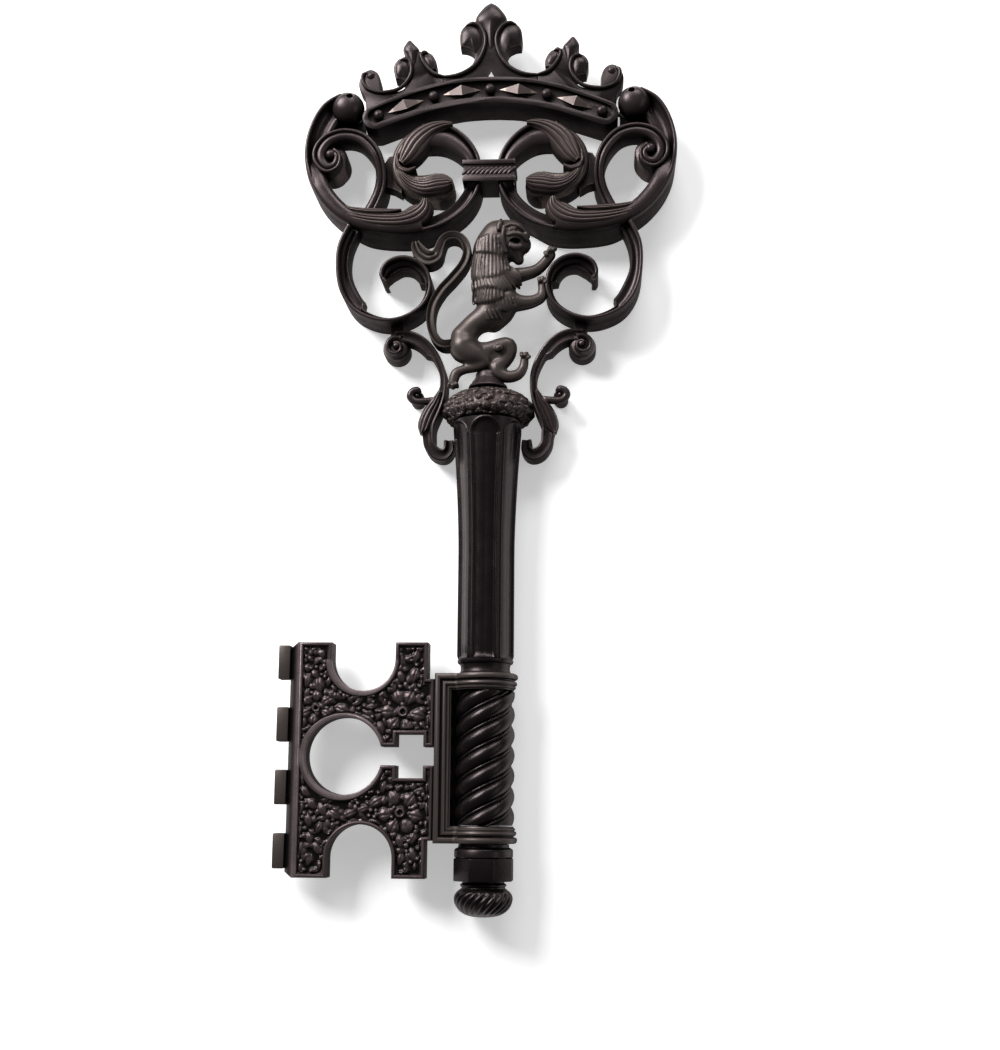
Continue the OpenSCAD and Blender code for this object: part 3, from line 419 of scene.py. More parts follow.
# Runs of the bands: x, height and share of the band's width
HEART = [[-99, 538.5, 0.75], [-108, 529.5, 1.25], [-115, 516, 1.28], [-118.6, 500, 1.12],
         [-116.6, 483, 1.05], [-108.5, 467.5, 1.05], [-95.5, 455, 1.02], [-78, 448.4, 1],
         [-60, 446.4, 1], [-45, 447.4, 1], [-31, 452, 1], [-19.5, 460.5, 1], [-12.6, 471, 0.95],
         [-10.5, 482.5, 0.9], [-11.8, 493, 0.92], [-18, 501.6, 1.15], [-26.5, 508, 1.35],
         [-35.2, 510.8, 1.45], [-44.5, 510.2, 1.35]]
VOLUTE = [[-86, 451, 1.1], [-79, 463.5, 1], [-74, 476, 0.95], [-73.6, 488, 0.9], [-77.8, 499.5, 1],
          [-86.5, 509, 1], [-98, 512.2, 1], [-108.5, 509.2, 1.05], [-114.4, 502, 1.15],
          [-114.8, 494.5, 1.15], [-110, 488.6, 1.05], [-104.2, 490.2, 0.9], [-102.6, 496, 0.75],
          [-106, 500.2, 0.6]]
LOWER = [[-91, 446, 0.9], [-96.5, 432, 0.95], [-97.2, 417, 0.95], [-93.6, 403.6, 1.2],
         [-86.8, 392.5, 1.2], [-77.2, 386.2, 1.1], [-66, 383.5, 0.95], [-54.5, 386.3, 0.95],
         [-45.5, 393, 0.95], [-41.6, 402.5, 0.95], [-43.3, 412.5, 0.95], [-49.5, 419, 0.95],
         [-58, 420.7, 1], [-65.5, 417.4, 1.05], [-69.2, 412.2, 0.72], [-69.3, 408.4, 0.25]]
# Distance of the rims of the scrolls from the wall, and of the wall screws from the middle
SCROLL_OUT, SCREW_X = 28.0, 95

# Across a coved band: rim at the outer edge, hollow behind it, low roll at the inner edge
COVE_ROWS = [(1, -0.35, 27.6), (1, -0.9, 28), (1, -1.7, 28), (1, -2.25, 27.6), (1, -2.6, 26.6),
             (1, -2.9, 24.6), (0.42, 0, 22.2), (0.25, 0, 21.2), (0.05, 0, 20.6), (-0.15, 0, 20.5),
             (-0.35, 0, 20.9), (-0.55, 0, 21.5), (-0.72, 0, 21.7), (-0.86, 0, 21.2), (-0.96, 0, 20)]


def blend(u, start, end):
    """Share that rises smoothly from 0 at start to 1 at end."""
    t = min(max((u - start) / (end - start), 0.0), 1.0)
    return t * t * (3 - 2 * t)


def none(u):
    return 0.0


def cove_section(half, crown=none, roll=none, cut=none, draft=none, out=lambda u: SCROLL_OUT):
    """Section of a coved band. crown(u) turns the cove into a rounded face, roll(u) into a broad
    roll behind the rim, cut(u) draws the inner edge back to the rim, draft(u) spreads the outer
    wall at its foot, and out(u) is the rim's distance from the wall."""
    back = 8.0

    def section(u):
        k, q, w, top = crown(u), roll(u), 1 - cut(u), out(u)
        rows = [(1, draft(u), 0), (1, 0.8 * draft(u), 8), (1, 0, 11), (1, 0, top - 1 - 3.5 * k)]
        for share, more, level in COVE_ROWS:
            level += top - SCROLL_OUT
            s = share + more / half
            if share != 1:
                swell = top - 5 + 4.6 * math.sqrt(max(0.0, 1 - ((s + 0.25) / 0.85) ** 2))
                level += (swell - level) * q
            dome = top - 4.6 + 4.8 * math.sqrt(max(0.0, 1 - abs(s * 0.985) ** 2.3))
            lean = share if share == 1 else 1 - (1 - share) * w
            rows.append((lean, more, level + (dome - level) * k))
        inner = 1 - 2 * w
        return rows + [(inner, 0, top - 9.5), (inner, 0, back + 1), (inner + 0.1, 0, back),
                       (1, -2.6, back), (1, -2.6, 0)]
    return section


def coved(knots, width, **shape):
    """Coved band along a run."""
    return ribbon(knots, width, cove_section(width / 2, **shape), 10)


def heart_crown(u):
    return 0.0 if u > 9.05 else 1.0 if u > 8 else blend(u, 2.6, 4.6)


def heart_draft(u):
    return 2.6 * blend(u, 6.0, 7.0) * (1 - blend(u, 9.0, 10.0))


heart_band = coved(HEART, 11.4, crown=heart_crown, roll=lambda u: blend(u, 12.2, 13.2),
                   draft=heart_draft)
shoulder = boss([(9.6, 0), (9.8, 12), (10.3, 16), (10.9, 19), (11, 21.4), (10.5, 24.2), (9.3, 26.9),
                 (7.4, 29), (4.8, 30.4), (2, 30.95), (0.01, 31)], -97, 533)
shoulder_web = slab([(-110, 512), (-87.5, 512), (-87.5, 527), (-97, 533), (-110, 528)], 0.5, 14.6, 15.6)
hearts = pair("heart_scroll", joined(heart_band, shoulder, shoulder_web), SCROLL)
for screw_x, piece in zip((-SCREW_X, SCREW_X), hearts):
    cut_away(piece, boss([(2.25, -3), (2.25, 29), (2.9, 36)], screw_x, ORIGIN_Z), "screw_hole")
    tidy(piece.data)


volute_band = coved(VOLUTE, 8, roll=lambda u: 1.0,
                    out=lambda u: SCROLL_OUT - 6 * (1 - blend(u, 1, 4)))
volute_head = boss([(11.3, 0), (11.4, 2), (11.4, 18), (10.6, 20), (8, 21.4), (0.01, 21.8)], -108.3, 497.2)
volute_eye = boss([(3.3, 18), (3.3, 25.6), (3, 27.4), (2.1, 28.6), (0.9, 29), (0.01, 29)], -107.4, 497.8, 28)
pair("side_volute", joined(volute_band, volute_head, volute_eye), SCROLL)


def lower_cut(u):
    return 0.42 * (1 - blend(u, 9.4, 9.5) if u > 9.4 else blend(u, 4.1, 4.35))


pair("lower_scroll", coved(LOWER, 9, cut=lower_cut), SCROLL)


# Leaves
def ribbed(ribs, crest, edge, back, rib=0.75, lean=0.0):
    """Section of a ribbed leaf: a domed face with rounded ridges and sharp valleys, rib deep.
    crest(u) and edge(u) are the distances from the wall of its middle and of its edges, and lean
    moves the middle to the right."""
    shares = np.linspace(1, -1, 8 * ribs + 1)

    def section(u):
        top, low = crest(u), edge(u)
        rows = [(1, 0, back)]
        for s in shares:
            dome = max(0.0, 1 - abs(s - lean) ** 2 / (1 + abs(lean)) ** 2) ** 0.55
            ridge = abs(math.sin(math.pi * ribs * (s + 1) / 2)) ** 0.7
            rows.append((s, 0, low + (top - low) * dome - rib * (1 - ridge)))
        rows.append((-1, 0, back))
        return rows
    return section


LEAF_MAIN = [[-106, 464, 0.25], [-97, 456, 0.6], [-84, 451.8, 0.85], [-70, 449.8, 1],
             [-58, 449.8, 1.12], [-49, 452.8, 1.4], [-43.6, 458, 1.1], [-42.6, 463.5, 0.5]]
LEAF_SMALL = [[-100, 461.5, 0.3], [-92, 458.6, 0.7], [-82, 456.8, 0.95], [-72, 456, 1.0],
              [-64, 456, 0.8], [-58.4, 456.6, 0.3]]
leaf_main = ribbon(LEAF_MAIN, 12.6, ribbed(
    5, lambda u: 27.6 + 3.4 * blend(u, 0, 4.5), lambda u: 25 - 2.4 * blend(u, 2, 5), 22.0), 8)
leaf_small = ribbon(LEAF_SMALL, 5, ribbed(
    2, lambda u: 27.8 + 2.2 * blend(u, 0, 3), lambda u: 25.0, 22.0, rib=0.5), 8)
pair("foot_leaf", joined(leaf_main, leaf_small), LEAF, "rubbed_castings")

STEM = [[-45.5, 512.6, 1], [-53.5, 508.2, 1.1], [-59, 500.3, 1.15], [-61, 491, 1.1],
        [-58.6, 482.6, 1.15], [-51.5, 477.4, 1.4], [-43, 475.6, 1.7], [-35, 476, 1.9]]
LOBE_TOP = [[-25, 516.8, 0.3], [-31, 516.2, 0.65], [-38, 513.8, 1.0], [-44, 509.6, 1.3],
            [-49, 504.2, 1.42], [-52.6, 498.4, 1.3], [-55.8, 493.4, 1.0], [-58.8, 489.6, 0.5]]
LOBE_CURL = [[-61.4, 497.4, 0.4], [-61.8, 491.4, 0.9], [-59.4, 486.6, 1.1], [-54.6, 485, 1],
             [-49.6, 487, 0.4]]
LOBE_FOOT = [[-60.6, 487, 0.4], [-56.6, 480.6, 0.75], [-50.6, 476.2, 1.0], [-43, 474, 1.3],
             [-35, 475, 1.45], [-28.6, 475.6, 1.25], [-24.6, 475.8, 0.6]]
stem = ribbon(STEM, 10, ribbed(4, lambda u: 25.0, lambda u: 21.0, 2.0, rib=0.4), 8)
lobe_top = ribbon(LOBE_TOP, 11.8, ribbed(4, lambda u: 30.4, lambda u: 22.4, 16.0, rib=0.8, lean=0.15), 8)
lobe_curl = ribbon(LOBE_CURL, 4.6, ribbed(2, lambda u: 28.6, lambda u: 24.0, 16.0, rib=0.5), 8)
lobe_foot = ribbon(LOBE_FOOT, 11, ribbed(6, lambda u: 27.4 + 3.2 * blend(u, 1.5, 4), lambda u: 22.0,
                                          16.0, rib=0.55), 8)
acanthus_ball = boss([(9.3, 2), (9.8, 4), (9.8, 18), (9.4, 21), (8.2, 23.4), (5.6, 25), (0.01, 25.4)],
                     -33.6, 475.6)
LUG = [(-60, 473), (-66, 476.5), (-73, 478.5), (-74, 486), (-73, 492), (-69, 499), (-64, 500.5), (-59, 497)]
# Distances from the wall of a lug's back, of its front edge and of its face
LUG_OUTS = (4.0, 16.8, 17.6)
lug = slab(LUG, *LUG_OUTS)
pair("acanthus", joined(stem, lobe_top, lobe_curl, lobe_foot, acanthus_ball, lug), LEAF,
     "rubbed_castings")


# Brackets
BRACKET = [[-62, 372, 0.85], [-52, 371.4, 1], [-43.6, 366.8, 1], [-36.6, 358.4, 0.95],
           [-31.9, 348.3, 0.88], [-30.7, 340, 0.85], [-32, 331, 1], [-35.2, 322.5, 1.15],
           [-39.4, 313, 1.25], [-39, 305, 1], [-38, 298.2, 0.95], [-34, 292.8, 1],
           [-28.8, 291.4, 1], [-25.4, 295, 0.9], [-25.4, 301, 0.8]]


def bracket_section(u):
    """Rim on the outer side, a shallow channel, and an inner web that stops in a slant."""
    web = 1 - 0.35 * blend(u, 2.6, 3.0) + 0.35 * blend(u, 5.2, 6.4)
    inner = -1 + 2 * web
    return [(-1, 0, 0), (-1, 0, 19), (-1, 0.4, 19.8), (-1, 1.1, 20), (-1, 1.7, 19.7), (-1, 2.1, 18.6),
            (-0.1, 0, 17.6), (0.2 * web, 0, 17.6), (inner * 0.7, 0, 18), (inner * 0.92, 0, 17.4),
            (inner, 0, 16), (inner, 0, 5), (inner * 0.8, 0, 4), (-1, 2.1, 4), (-1, 2.1, 0)]


bracket_band = ribbon(BRACKET, 8, bracket_section, 8)
bracket_head = boss([(8.6, 0), (9, 1.4), (9, 12), (8.6, 14.4), (7.6, 16), (6, 16.8), (0.01, 17)],
                    -61.6, 364.8)


def coil(x, z, radii, start, turns):
    """Run of a flat coil that closes in anticlockwise from the first radius to the second, and
    thins on the way. start is a direction in degrees."""
    knots = []
    steps = 40
    for i, t in enumerate(np.linspace(0, 1, steps)):
        a = math.radians(start + 360 * turns * t)
        r = radii[0] + (radii[1] - radii[0]) * t
        knots.append((x + r * math.cos(a), z + r * math.sin(a), 1 - 0.35 * i / steps))
    return knots


def bead(low, top):
    """Section of a round bead that stands on a flat ground."""
    rows = [(1, 0, low)]
    for s in np.linspace(1, -1, 11):
        rows.append((s, 0, low + 1 + (top - low - 1) * math.sqrt(max(0.0, 1 - (s * 0.99) ** 2))))
    return lambda u: rows + [(-1, 0, low)]


head_coil = ribbon(coil(-61.6, 364.8, (6.8, 2.4), 60, 1.15), 4.8, bead(14, 20.4), 1)
head_eye = boss([(2.3, 14), (2.3, 18.4), (1.8, 19.8), (0.9, 20.4), (0.01, 20.5)], -61.2, 365.4, 24)
CURL_BAR = [(-32, 15.4, 330), (-37, 16.6, 328.2), (-42.6, 16.8, 327.6), (-48, 16.8, 327.8),
            (-51.2, 16.8, 331), (-50, 16.8, 334.2), (-46.8, 16.8, 335.2), (-44.6, 16.2, 333.2)]
curl_floor = boss([(4.6, 0), (4.8, 1), (4.8, 12.4), (4.2, 13.4), (0.01, 13.6)], -47.4, 331.2, 32)
curl_eye = boss([(1.2, 12), (1.2, 16.4), (0.9, 17.2), (0.01, 17.6)], -46.9, 332, 20)
SPRIG = [[-31.6, 334, 0.4], [-34.4, 327, 0.9], [-38, 320.6, 1.2], [-40.8, 314, 1.25], [-42.2, 309, 1.0],
         [-43.6, 305.4, 0.3]]
sprig = ribbon(SPRIG, 8, ribbed(3, lambda u: 20.8, lambda u: 16.6, 12.0, rib=0.7), 8)
bracket_lug = slab([(-65, 370), (-56.4, 370), (-56.4, 384), (-65, 384)], *LUG_OUTS)
pair("bracket", joined(bracket_band, bracket_head, head_coil, head_eye, tube(CURL_BAR, 2.6), curl_floor,
                       curl_eye, sprig, bracket_lug), SCROLL)


# Softened pieces
def softened(node, material, width, slot="castings"):
    """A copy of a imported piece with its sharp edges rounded, as a casting has them."""
    source = frame["nodes"][node]
    mesh = source.data.copy()
    mesh.name = f"{node}_cast"
    bm = bmesh.new()
    bm.from_mesh(mesh)
    bmesh.ops.remove_doubles(bm, verts=bm.verts, dist=2e-5)
    bmesh.ops.recalc_face_normals(bm, faces=bm.faces)
    bmesh.ops.dissolve_limit(bm, angle_limit=math.radians(3), verts=bm.verts, edges=bm.edges)
    bm.to_mesh(mesh)
    bm.free()
    mesh.materials.clear()
    mesh.materials.append(material)
    piece = linked(mesh.name, mesh)
    edge = piece.modifiers.new("edge", "BEVEL")
    edge.width = width * MM
    edge.segments = 2
    edge.limit_method = "ANGLE"
    edge.angle_limit = math.radians(35)
    edge.miter_outer = "MITER_ARC"
    applied(piece)
    tidy(piece.data)
    dress(piece, node, slot=slot)


softened("octagon_collar", STEM_BLACK, 0.7)
softened("bit_teeth", SATIN, 0.8)


# Stem
KNOB_PROFILE = [(0.01, 0), (5.5, 0.3), (10, 1.2), (13.6, 3), (16.2, 5.6), (17.7, 8.4), (18.2, 10.8),
                (17.8, 13), (16.6, 15), (14.6, 16.6), (13.6, 17.4), (13.5, 18.2), (14.2, 18.9),
                (14.1, 19.8), (13.1, 20.5), (12.9, 21.5)]


def gadrooned_knob():
    """Turned knob with slanting gadroons that rise to the right round its swell."""
    count, slant, cut = 22, 0.05, 1.5
    angle = around(440)
    rings = []
    for radius, z in curve(KNOB_PROFILE, 4):
        share = blend(z, 1.2, 4) * (1 - blend(z, 13.6, 15.6))
        ridge = np.abs(np.cos((angle - slant * z) * count / 2)) ** 0.75
        r = np.maximum(radius - cut * share * (1 - ridge), 0.01)
        rings.append(level_ring(r, angle, z))
    return capped(rings + [rings[-1] * [0.0, 0.0, 1.0] - [0.0, AXIS_OUT, 0.0]])


# Radius and height along the turned pieces
RING_PROFILE = [(0.01, 35.7), (17.6, 35.7), (18.2, 36.3), (18.2, 40.2), (17.7, 41), (16.8, 41.5),
                (16, 41.9), (15.7, 42.6), (15.7, 43.8), (0.01, 43.8)]
NECK_PROFILE = [(0.01, 149.2), (16, 149.2), (16, 149.8), (15.6, 150.6), (15.5, 153), (15.9, 154.2),
                (16, 154.8), (0.01, 154.8)]
cast("knob_with_gadroons", gadrooned_knob(), STEM_BLACK, "end_knob")
cast("collar_ring_turned", turned(RING_PROFILE), CAST, "collar_ring")
cast("shank_neck_turned", turned(NECK_PROFILE), CAST, "shank_neck")

# Moulding of the frame: distance in from its outer edge, and height of its face
MOULDING = [(0.0, -4.0), (0.1, -1.6), (0.6, -0.7), (1.5, -0.2), (2.5, -0.1), (3.4, -0.5), (3.8, -1.3),
            (4.1, -2.3), (4.6, -2.4), (4.9, -1.5), (5.4, -0.9), (6.4, -0.6), (7.2, -0.9), (7.5, -1.7),
            (8.0, -1.8), (8.4, -1.4), (9.2, -1.5), (9.6, -2.3), (10.4, -2.6), (10.5, -4.5)]
MOULDING_WIDTH = MOULDING[-1][0]
# Edges of the frame, the x where its rails run into the rings, and distances of face and back
FRAME_LOW, FRAME_TOP, FRAME_LEFT, RAIL_END, BAR_FACE, BAR_BACK = 44.2, 148.8, -31.0, -12, 30.0, 8.0


def frame_moulding():
    """Mitred moulding of the left bar and the two rails, which run into the rings."""
    lines = []
    for w, h in MOULDING + [(MOULDING_WIDTH, BAR_BACK - BAR_FACE), (0.0, BAR_BACK - BAR_FACE)]:
        x, out = FRAME_LEFT + w, -BAR_FACE - h
        lines.append([(RAIL_END, out, FRAME_TOP - w), (x, out, FRAME_TOP - w), (x, out, FRAME_LOW + w),
                      (RAIL_END, out, FRAME_LOW + w)])
    return capped(np.array(lines, float).transpose(1, 0, 2))


def frame_ring(turn_up):
    """Double round ring of the frame with the same moulding as the rails."""
    radius = 20.8
    base, sign = (FRAME_TOP, -1) if turn_up else (FRAME_LOW, 1)
    profile = [(0.01, base)] + [(radius + h if h > -4 else radius - 3.4, base + sign * w)
                                for w, h in MOULDING] + [(0.01, base + sign * MOULDING_WIDTH)]
    return turned(profile, 96)


WEB = [(-25.5, FRAME_LOW), (-15.79, FRAME_LOW), (-15.79, FRAME_TOP), (-25.5, FRAME_TOP)]
bit_frame = joined(frame_moulding(), frame_ring(True), frame_ring(False), slab(WEB, 5.0, 8.5))
cast("frame_with_mouldings", bit_frame, SATIN, "bit_frame", smooth=30)


# Geometry nodes
def grown(name, build, values, material):
    """Runs a Geometry Nodes tree once and keeps its plain mesh. build(tree, sockets) returns the
    geometry, and values holds the named inputs and their sizes in metres or counts."""
    tree = bpy.data.node_groups.new(name, "GeometryNodeTree")
    tree.interface.new_socket("Geometry", in_out="OUTPUT", socket_type="NodeSocketGeometry")
    named = {}
    for key, value in values.items():
        kind = "NodeSocketInt" if isinstance(value, int) else "NodeSocketFloat"
        named[key] = tree.interface.new_socket(key, in_out="INPUT", socket_type=kind)
    source = add(tree, "NodeGroupInput")
    shape = build(tree, source.outputs)
    whole = out_of(tree, "GeometryNodeRealizeInstances", {"Geometry": shape})
    coloured = out_of(tree, "GeometryNodeSetMaterial", {"Geometry": whole, "Material": material})
    add(tree, "NodeGroupOutput", {"Geometry": coloured})
    piece = linked(name, bpy.data.meshes.new(name))
    nodes = piece.modifiers.new(name, "NODES")
    nodes.node_group = tree
    for key, socket in named.items():
        nodes[socket.identifier] = values[key]
    return applied(piece)


def twisted_strands(tree, size):
    """Round strands wound side by side, with a thin bead between each two."""
    strands = []
    for radius, centre, share in (("Strand radius", "Strand centre", 0.0),
                                  ("Bead radius", "Bead centre", 0.5)):
        helix = out_of(tree, "GeometryNodeCurveSpiral", {
            "Resolution": 56, "Rotations": math_of(tree, "DIVIDE", size["Height"], size["Lead"]),
            "Start Radius": size[centre], "End Radius": size[centre], "Height": size["Height"]})
        round_bar = out_of(tree, "GeometryNodeCurvePrimitiveCircle", {
            "Resolution": 24, "Radius": size[radius]})
        solid = out_of(tree, "GeometryNodeCurveToMesh", {
            "Curve": helix, "Profile Curve": round_bar, "Fill Caps": True})
        step = math_of(tree, "DIVIDE", 2 * math.pi, size["Strands"])
        number = math_of(tree, "ADD", out_of(tree, "GeometryNodeInputIndex"), share)
        spin = out_of(tree, "ShaderNodeCombineXYZ", {"Z": math_of(tree, "MULTIPLY", number, step)})
        places = out_of(tree, "GeometryNodeMeshLine", {"Count": size["Strands"], "Offset": (0, 0, 0)})
        strands.append(out_of(tree, "GeometryNodeInstanceOnPoints", {
            "Points": places, "Instance": solid, "Rotation": spin}))
    core = out_of(tree, "GeometryNodeMeshCylinder", {
        "Vertices": 48, "Radius": size["Strand centre"], "Depth": size["Height"]})
    lift = out_of(tree, "ShaderNodeCombineXYZ", {"Z": math_of(tree, "DIVIDE", size["Height"], 2.0)})
    whole = add(tree, "GeometryNodeJoinGeometry")
    for part in strands + [out_of(tree, "GeometryNodeTransform", {"Geometry": core, "Translation": lift})]:
        tree.links.new(part, whole.inputs[0])
    return whole.outputs[0]


# Foot and height of the frame's opening, and how far the strands first run on past its ends
WINDOW_LOW, WINDOW_TALL, RUN_ON = 55.2, 82.6, 8.0
barrel = grown("barrel_strands", twisted_strands, {
    "Height": (WINDOW_TALL + 2 * RUN_ON) * MM, "Lead": 0.0504, "Strands": 4, "Strand radius": 0.0051,
    "Strand centre": 0.0137, "Bead radius": 0.0011, "Bead centre": 0.0158}, STEM_BLACK)
co = points_of(barrel)
# The spiral comes out left-handed, so it is turned to rise to the right, and its run-on is cut flat
co[:, 0] *= -1
co[:, 2] = np.clip(co[:, 2] - RUN_ON * MM, 0, WINDOW_TALL * MM) + (WINDOW_LOW - ORIGIN_Z) * MM
co[:, 1] = np.minimum(co[:, 1] - AXIS_OUT * MM, 0.0)
barrel.data.vertices.foreach_set("co", co.ravel())
tidy(barrel.data)
dress(barrel, "twist_barrel")


def fluted_shank():
    """Flared shank with six flutes whose heads are round, and a plain foot."""
    low, high, radius, flare = 155.0, 311.8, 18.0, 4.6
    flutes, rib_w, cut = 6, 4.4, 2.3
    foot = [low, low + 0.5, low + 1.2, low + 2.2, low + 2.6]
    body, heads = np.linspace(low + 3, 280, 60), np.linspace(280.5, high - 0.4, 96)
    heights = np.concatenate([foot, body, heads, [high]])
    angle = around(384)
    local = (angle + math.pi / 2 + math.pi / flutes) % (2 * math.pi / flutes) - math.pi / flutes
    head = (radius + flare) * math.pi / flutes - rib_w / 2
    head_z = high - head - 1.4
    rings = []
    for z in heights:
        t = (z - low) / (high - low)
        r = radius + flare * max(0.0, (t - 0.45) / 0.55) ** 1.6
        half = (r * 2 * math.pi / flutes - rib_w) / 2
        x = local * r
        over = max(0.0, z - head_z)
        gap = np.where(over > 0, head - np.hypot(x, over), half - np.abs(x))
        gap = np.minimum(gap, 6 * (z - low - 3.2))
        wall = np.clip(gap / 1.1, 0, 1)
        bowl = np.clip(gap / half, 0, 1)
        depth = cut * (0.72 * np.sin(wall * math.pi / 2) + 0.28 * bowl)
        bead = 0.35 * np.exp(-((gap + 0.7) / 0.55) ** 2)
        shrink = 0.7 * (1 - blend(z, low, low + 0.8)) + 0.5 * (blend(z, low + 2.2, low + 2.6)
                                                            - blend(z, low + 2.8, low + 4))
        rings.append(level_ring(r - depth + bead - shrink - 0.35, angle, z))
    return capped(rings)


cast("shank_with_flutes", fluted_shank(), SHANK, "shank", smooth=50)


# Foliage relief
def leaf_height(u, v, spot):
    """Height of one creased leaf over a flat ground. spot: place, direction in degrees, length,
    width and height. The leaf is widest beyond its middle and ends in a point at its foot."""
    x, z, turn, long, wide, high = spot
    c, s = math.cos(math.radians(turn)), math.sin(math.radians(turn))
    a = ((u - x) * c + (v - z) * s) / long + 0.5
    b = (-(u - x) * s + (v - z) * c) / (wide / 2)
    inside = (a > 0) & (a < 1)
    half = np.where(inside, np.sin(math.pi * np.clip(a, 0, 1) ** 1.3), 0) + 1e-6
    edge = np.clip(1 - np.abs(b) / half, 0, 1)
    dome = np.where(inside, np.sqrt(edge) * (0.5 + 0.5 * np.sin(math.pi * np.clip(a, 0, 1) ** 1.2)), 0)
    crease = 0.34 * np.exp(-(b / 0.16) ** 2) + 0.08 * np.abs(np.sin(a * 9 + np.abs(b) * 3))
    return high * np.where(dome > 0, dome - crease * np.clip(edge * 3, 0, 1), 0)


def flower_height(u, v, x, z, radius, turns, high):
    """Height of a flower with a petal at each of the turns and a drilled centre."""
    out = np.zeros_like(u)
    for turn in turns:
        c, s = math.cos(math.radians(turn)), math.sin(math.radians(turn))
        out = np.maximum(out, leaf_height(u, v, (x + c * radius * 0.64, z + s * radius * 0.64, turn,
                                                 radius * 0.8, radius * 0.66, high)))
    away = np.hypot(u - x, v - z)
    ring = high * 0.9 * np.exp(-((away - radius * 0.17) / (radius * 0.075)) ** 2)
    return np.maximum(np.where(away < radius * 0.24, 0, out), ring)


def relief_height(u, v, leaves, flowers, seed, tries, box, grow=1.0):
    """Given leaves and flowers, with small leaves and berries where the ground is still free."""
    high = 2.2
    out = np.zeros_like(u)
    for x, z, turn, long, wide, tall in leaves:
        out = np.maximum(out, leaf_height(u, v, (x, z, turn, long * grow, wide * grow, tall)))
    for spot in flowers:
        out = np.maximum(out, flower_height(u, v, *spot))
    rng = np.random.default_rng(seed)
    for _ in range(tries):
        x, z = rng.uniform(box[0], box[1]), rng.uniform(box[2], box[3])
        near = (np.abs(u - x) < 1.3) & (np.abs(v - z) < 1.3)
        if not near.any() or out[near].mean() > 0.17 * high:
            continue
        if rng.random() < 0.35:
            r = rng.uniform(1.1, 1.7)
            berry = high * 0.8 * np.sqrt(np.clip(1 - ((u - x) ** 2 + (v - z) ** 2) / r ** 2, 0, 1))
            out = np.maximum(out, berry)
        else:
            out = np.maximum(out, leaf_height(u, v, (
                x, z, rng.uniform(0, 360), rng.uniform(5, 8), rng.uniform(3, 4.4),
                high * rng.uniform(0.7, 1.0))))
    return out


# Bit

# Edges of the carved field, whose right edge steps in to the pillar at its two ends, and the
# height of these steps
PLATE_LOW, PLATE_TOP, PLATE_LEFT, PLATE_RIGHT, PILLAR, SHOULDER = 22.75, 168.25, -117.4, -31.2, -35.8, 23.0
# Ward hole: its centre and radius, half of the slot, and the cross arm's ends and half its height
WARD, WARD_R, SLOT, CROSS = (-87.7, 97.3), 24.0, 5.8, (-54.8, -37.8, 13.6)
# Bays at the two ends: place, radius, and the heights of their centres
BAY_X, BAY_R, BAY_LOW, BAY_TOP = -76.5, 20.2, 35.05, 157.95
# Distances from the wall of the sunk ground and of the back of the carving
GROUND, RELIEF_BACK = 24.6, 20.0


def arc(x, z, radius, start, end, steps=32):
    """Points of an arc between two directions in degrees."""
    a = np.radians(np.linspace(start, end, steps))
    return [(x + radius * math.cos(t), z + radius * math.sin(t)) for t in a]


def plate_outline():
    """Outline of the bit with its bays, and the ward hole reached through the slot."""
    mouth = math.degrees(math.asin(SLOT / WARD_R))
    x, z = WARD
    left, right = BAY_X - BAY_R, BAY_X + BAY_R
    return np.array(
        [(PLATE_LEFT, PLATE_LOW), (left, PLATE_LOW)] + arc(BAY_X, BAY_LOW, BAY_R, 180, 0)
        + [(right, PLATE_LOW), (PILLAR, PLATE_LOW), (PILLAR, PLATE_LOW + SHOULDER),
           (PLATE_RIGHT, PLATE_LOW + SHOULDER), (PLATE_RIGHT, z - SLOT), (CROSS[1], z - SLOT),
           (CROSS[1], z - CROSS[2]), (CROSS[0], z - CROSS[2]), (CROSS[0], z - SLOT)]
        + arc(x, z, WARD_R, -mouth, mouth - 360, 72)
        + [(CROSS[0], z + SLOT), (CROSS[0], z + CROSS[2]), (CROSS[1], z + CROSS[2]), (CROSS[1], z + SLOT),
           (PLATE_RIGHT, z + SLOT), (PLATE_RIGHT, PLATE_TOP - SHOULDER), (PILLAR, PLATE_TOP - SHOULDER),
           (PILLAR, PLATE_TOP), (right, PLATE_TOP)] + arc(BAY_X, BAY_TOP, BAY_R, 0, -180)
        + [(left, PLATE_TOP), (PLATE_LEFT, PLATE_TOP)], float)


def inside_loop(loop, x, z):
    """Whether points lie inside a loop, by counting its crossings to their right."""
    inside = np.zeros_like(x, bool)
    for (x1, z1), (x2, z2) in zip(loop, np.roll(loop, -1, 0)):
        if z1 == z2:
            continue
        cross = (z > min(z1, z2)) & (z <= max(z1, z2))
        inside ^= cross & (x < x1 + (z - z1) * (x2 - x1) / (z2 - z1))
    return inside


outline = plate_outline()
PLATE_EDGE = [(0, 11.0), (0, 26.0), (0.25, 26.6), (0.8, 27.0), (1.5, 27.0), (2.0, 26.7), (2.3, 26.1),
              (2.5, 25.2), (2.7, GROUND)]
plate = stepped(outline, PLATE_EDGE)

# Across the strip at the left edge: x and distance from the wall
BEVEL_BAR = [(-117.0, 11), (-123.3, 11), (-123.5, 11.4), (-123.5, 21.6), (-123.2, 22.4), (-118.2, 26.8),
             (-117.6, 27), (-116.9, 26.9), (-116.4, 26.2), (-116.2, 24.6)]


def bevel_bar():
    """Sloping strip along the left edge of the bit, with its outer corners cut back."""
    low, top = [], []
    for x, out in BEVEL_BAR:
        trim = 3.6 * max(0.0, (-118.2 - x) / 5.3)
        low.append((x, -out, PLATE_LOW + trim))
        top.append((x, -out, PLATE_TOP - trim))
    return capped([low, top])


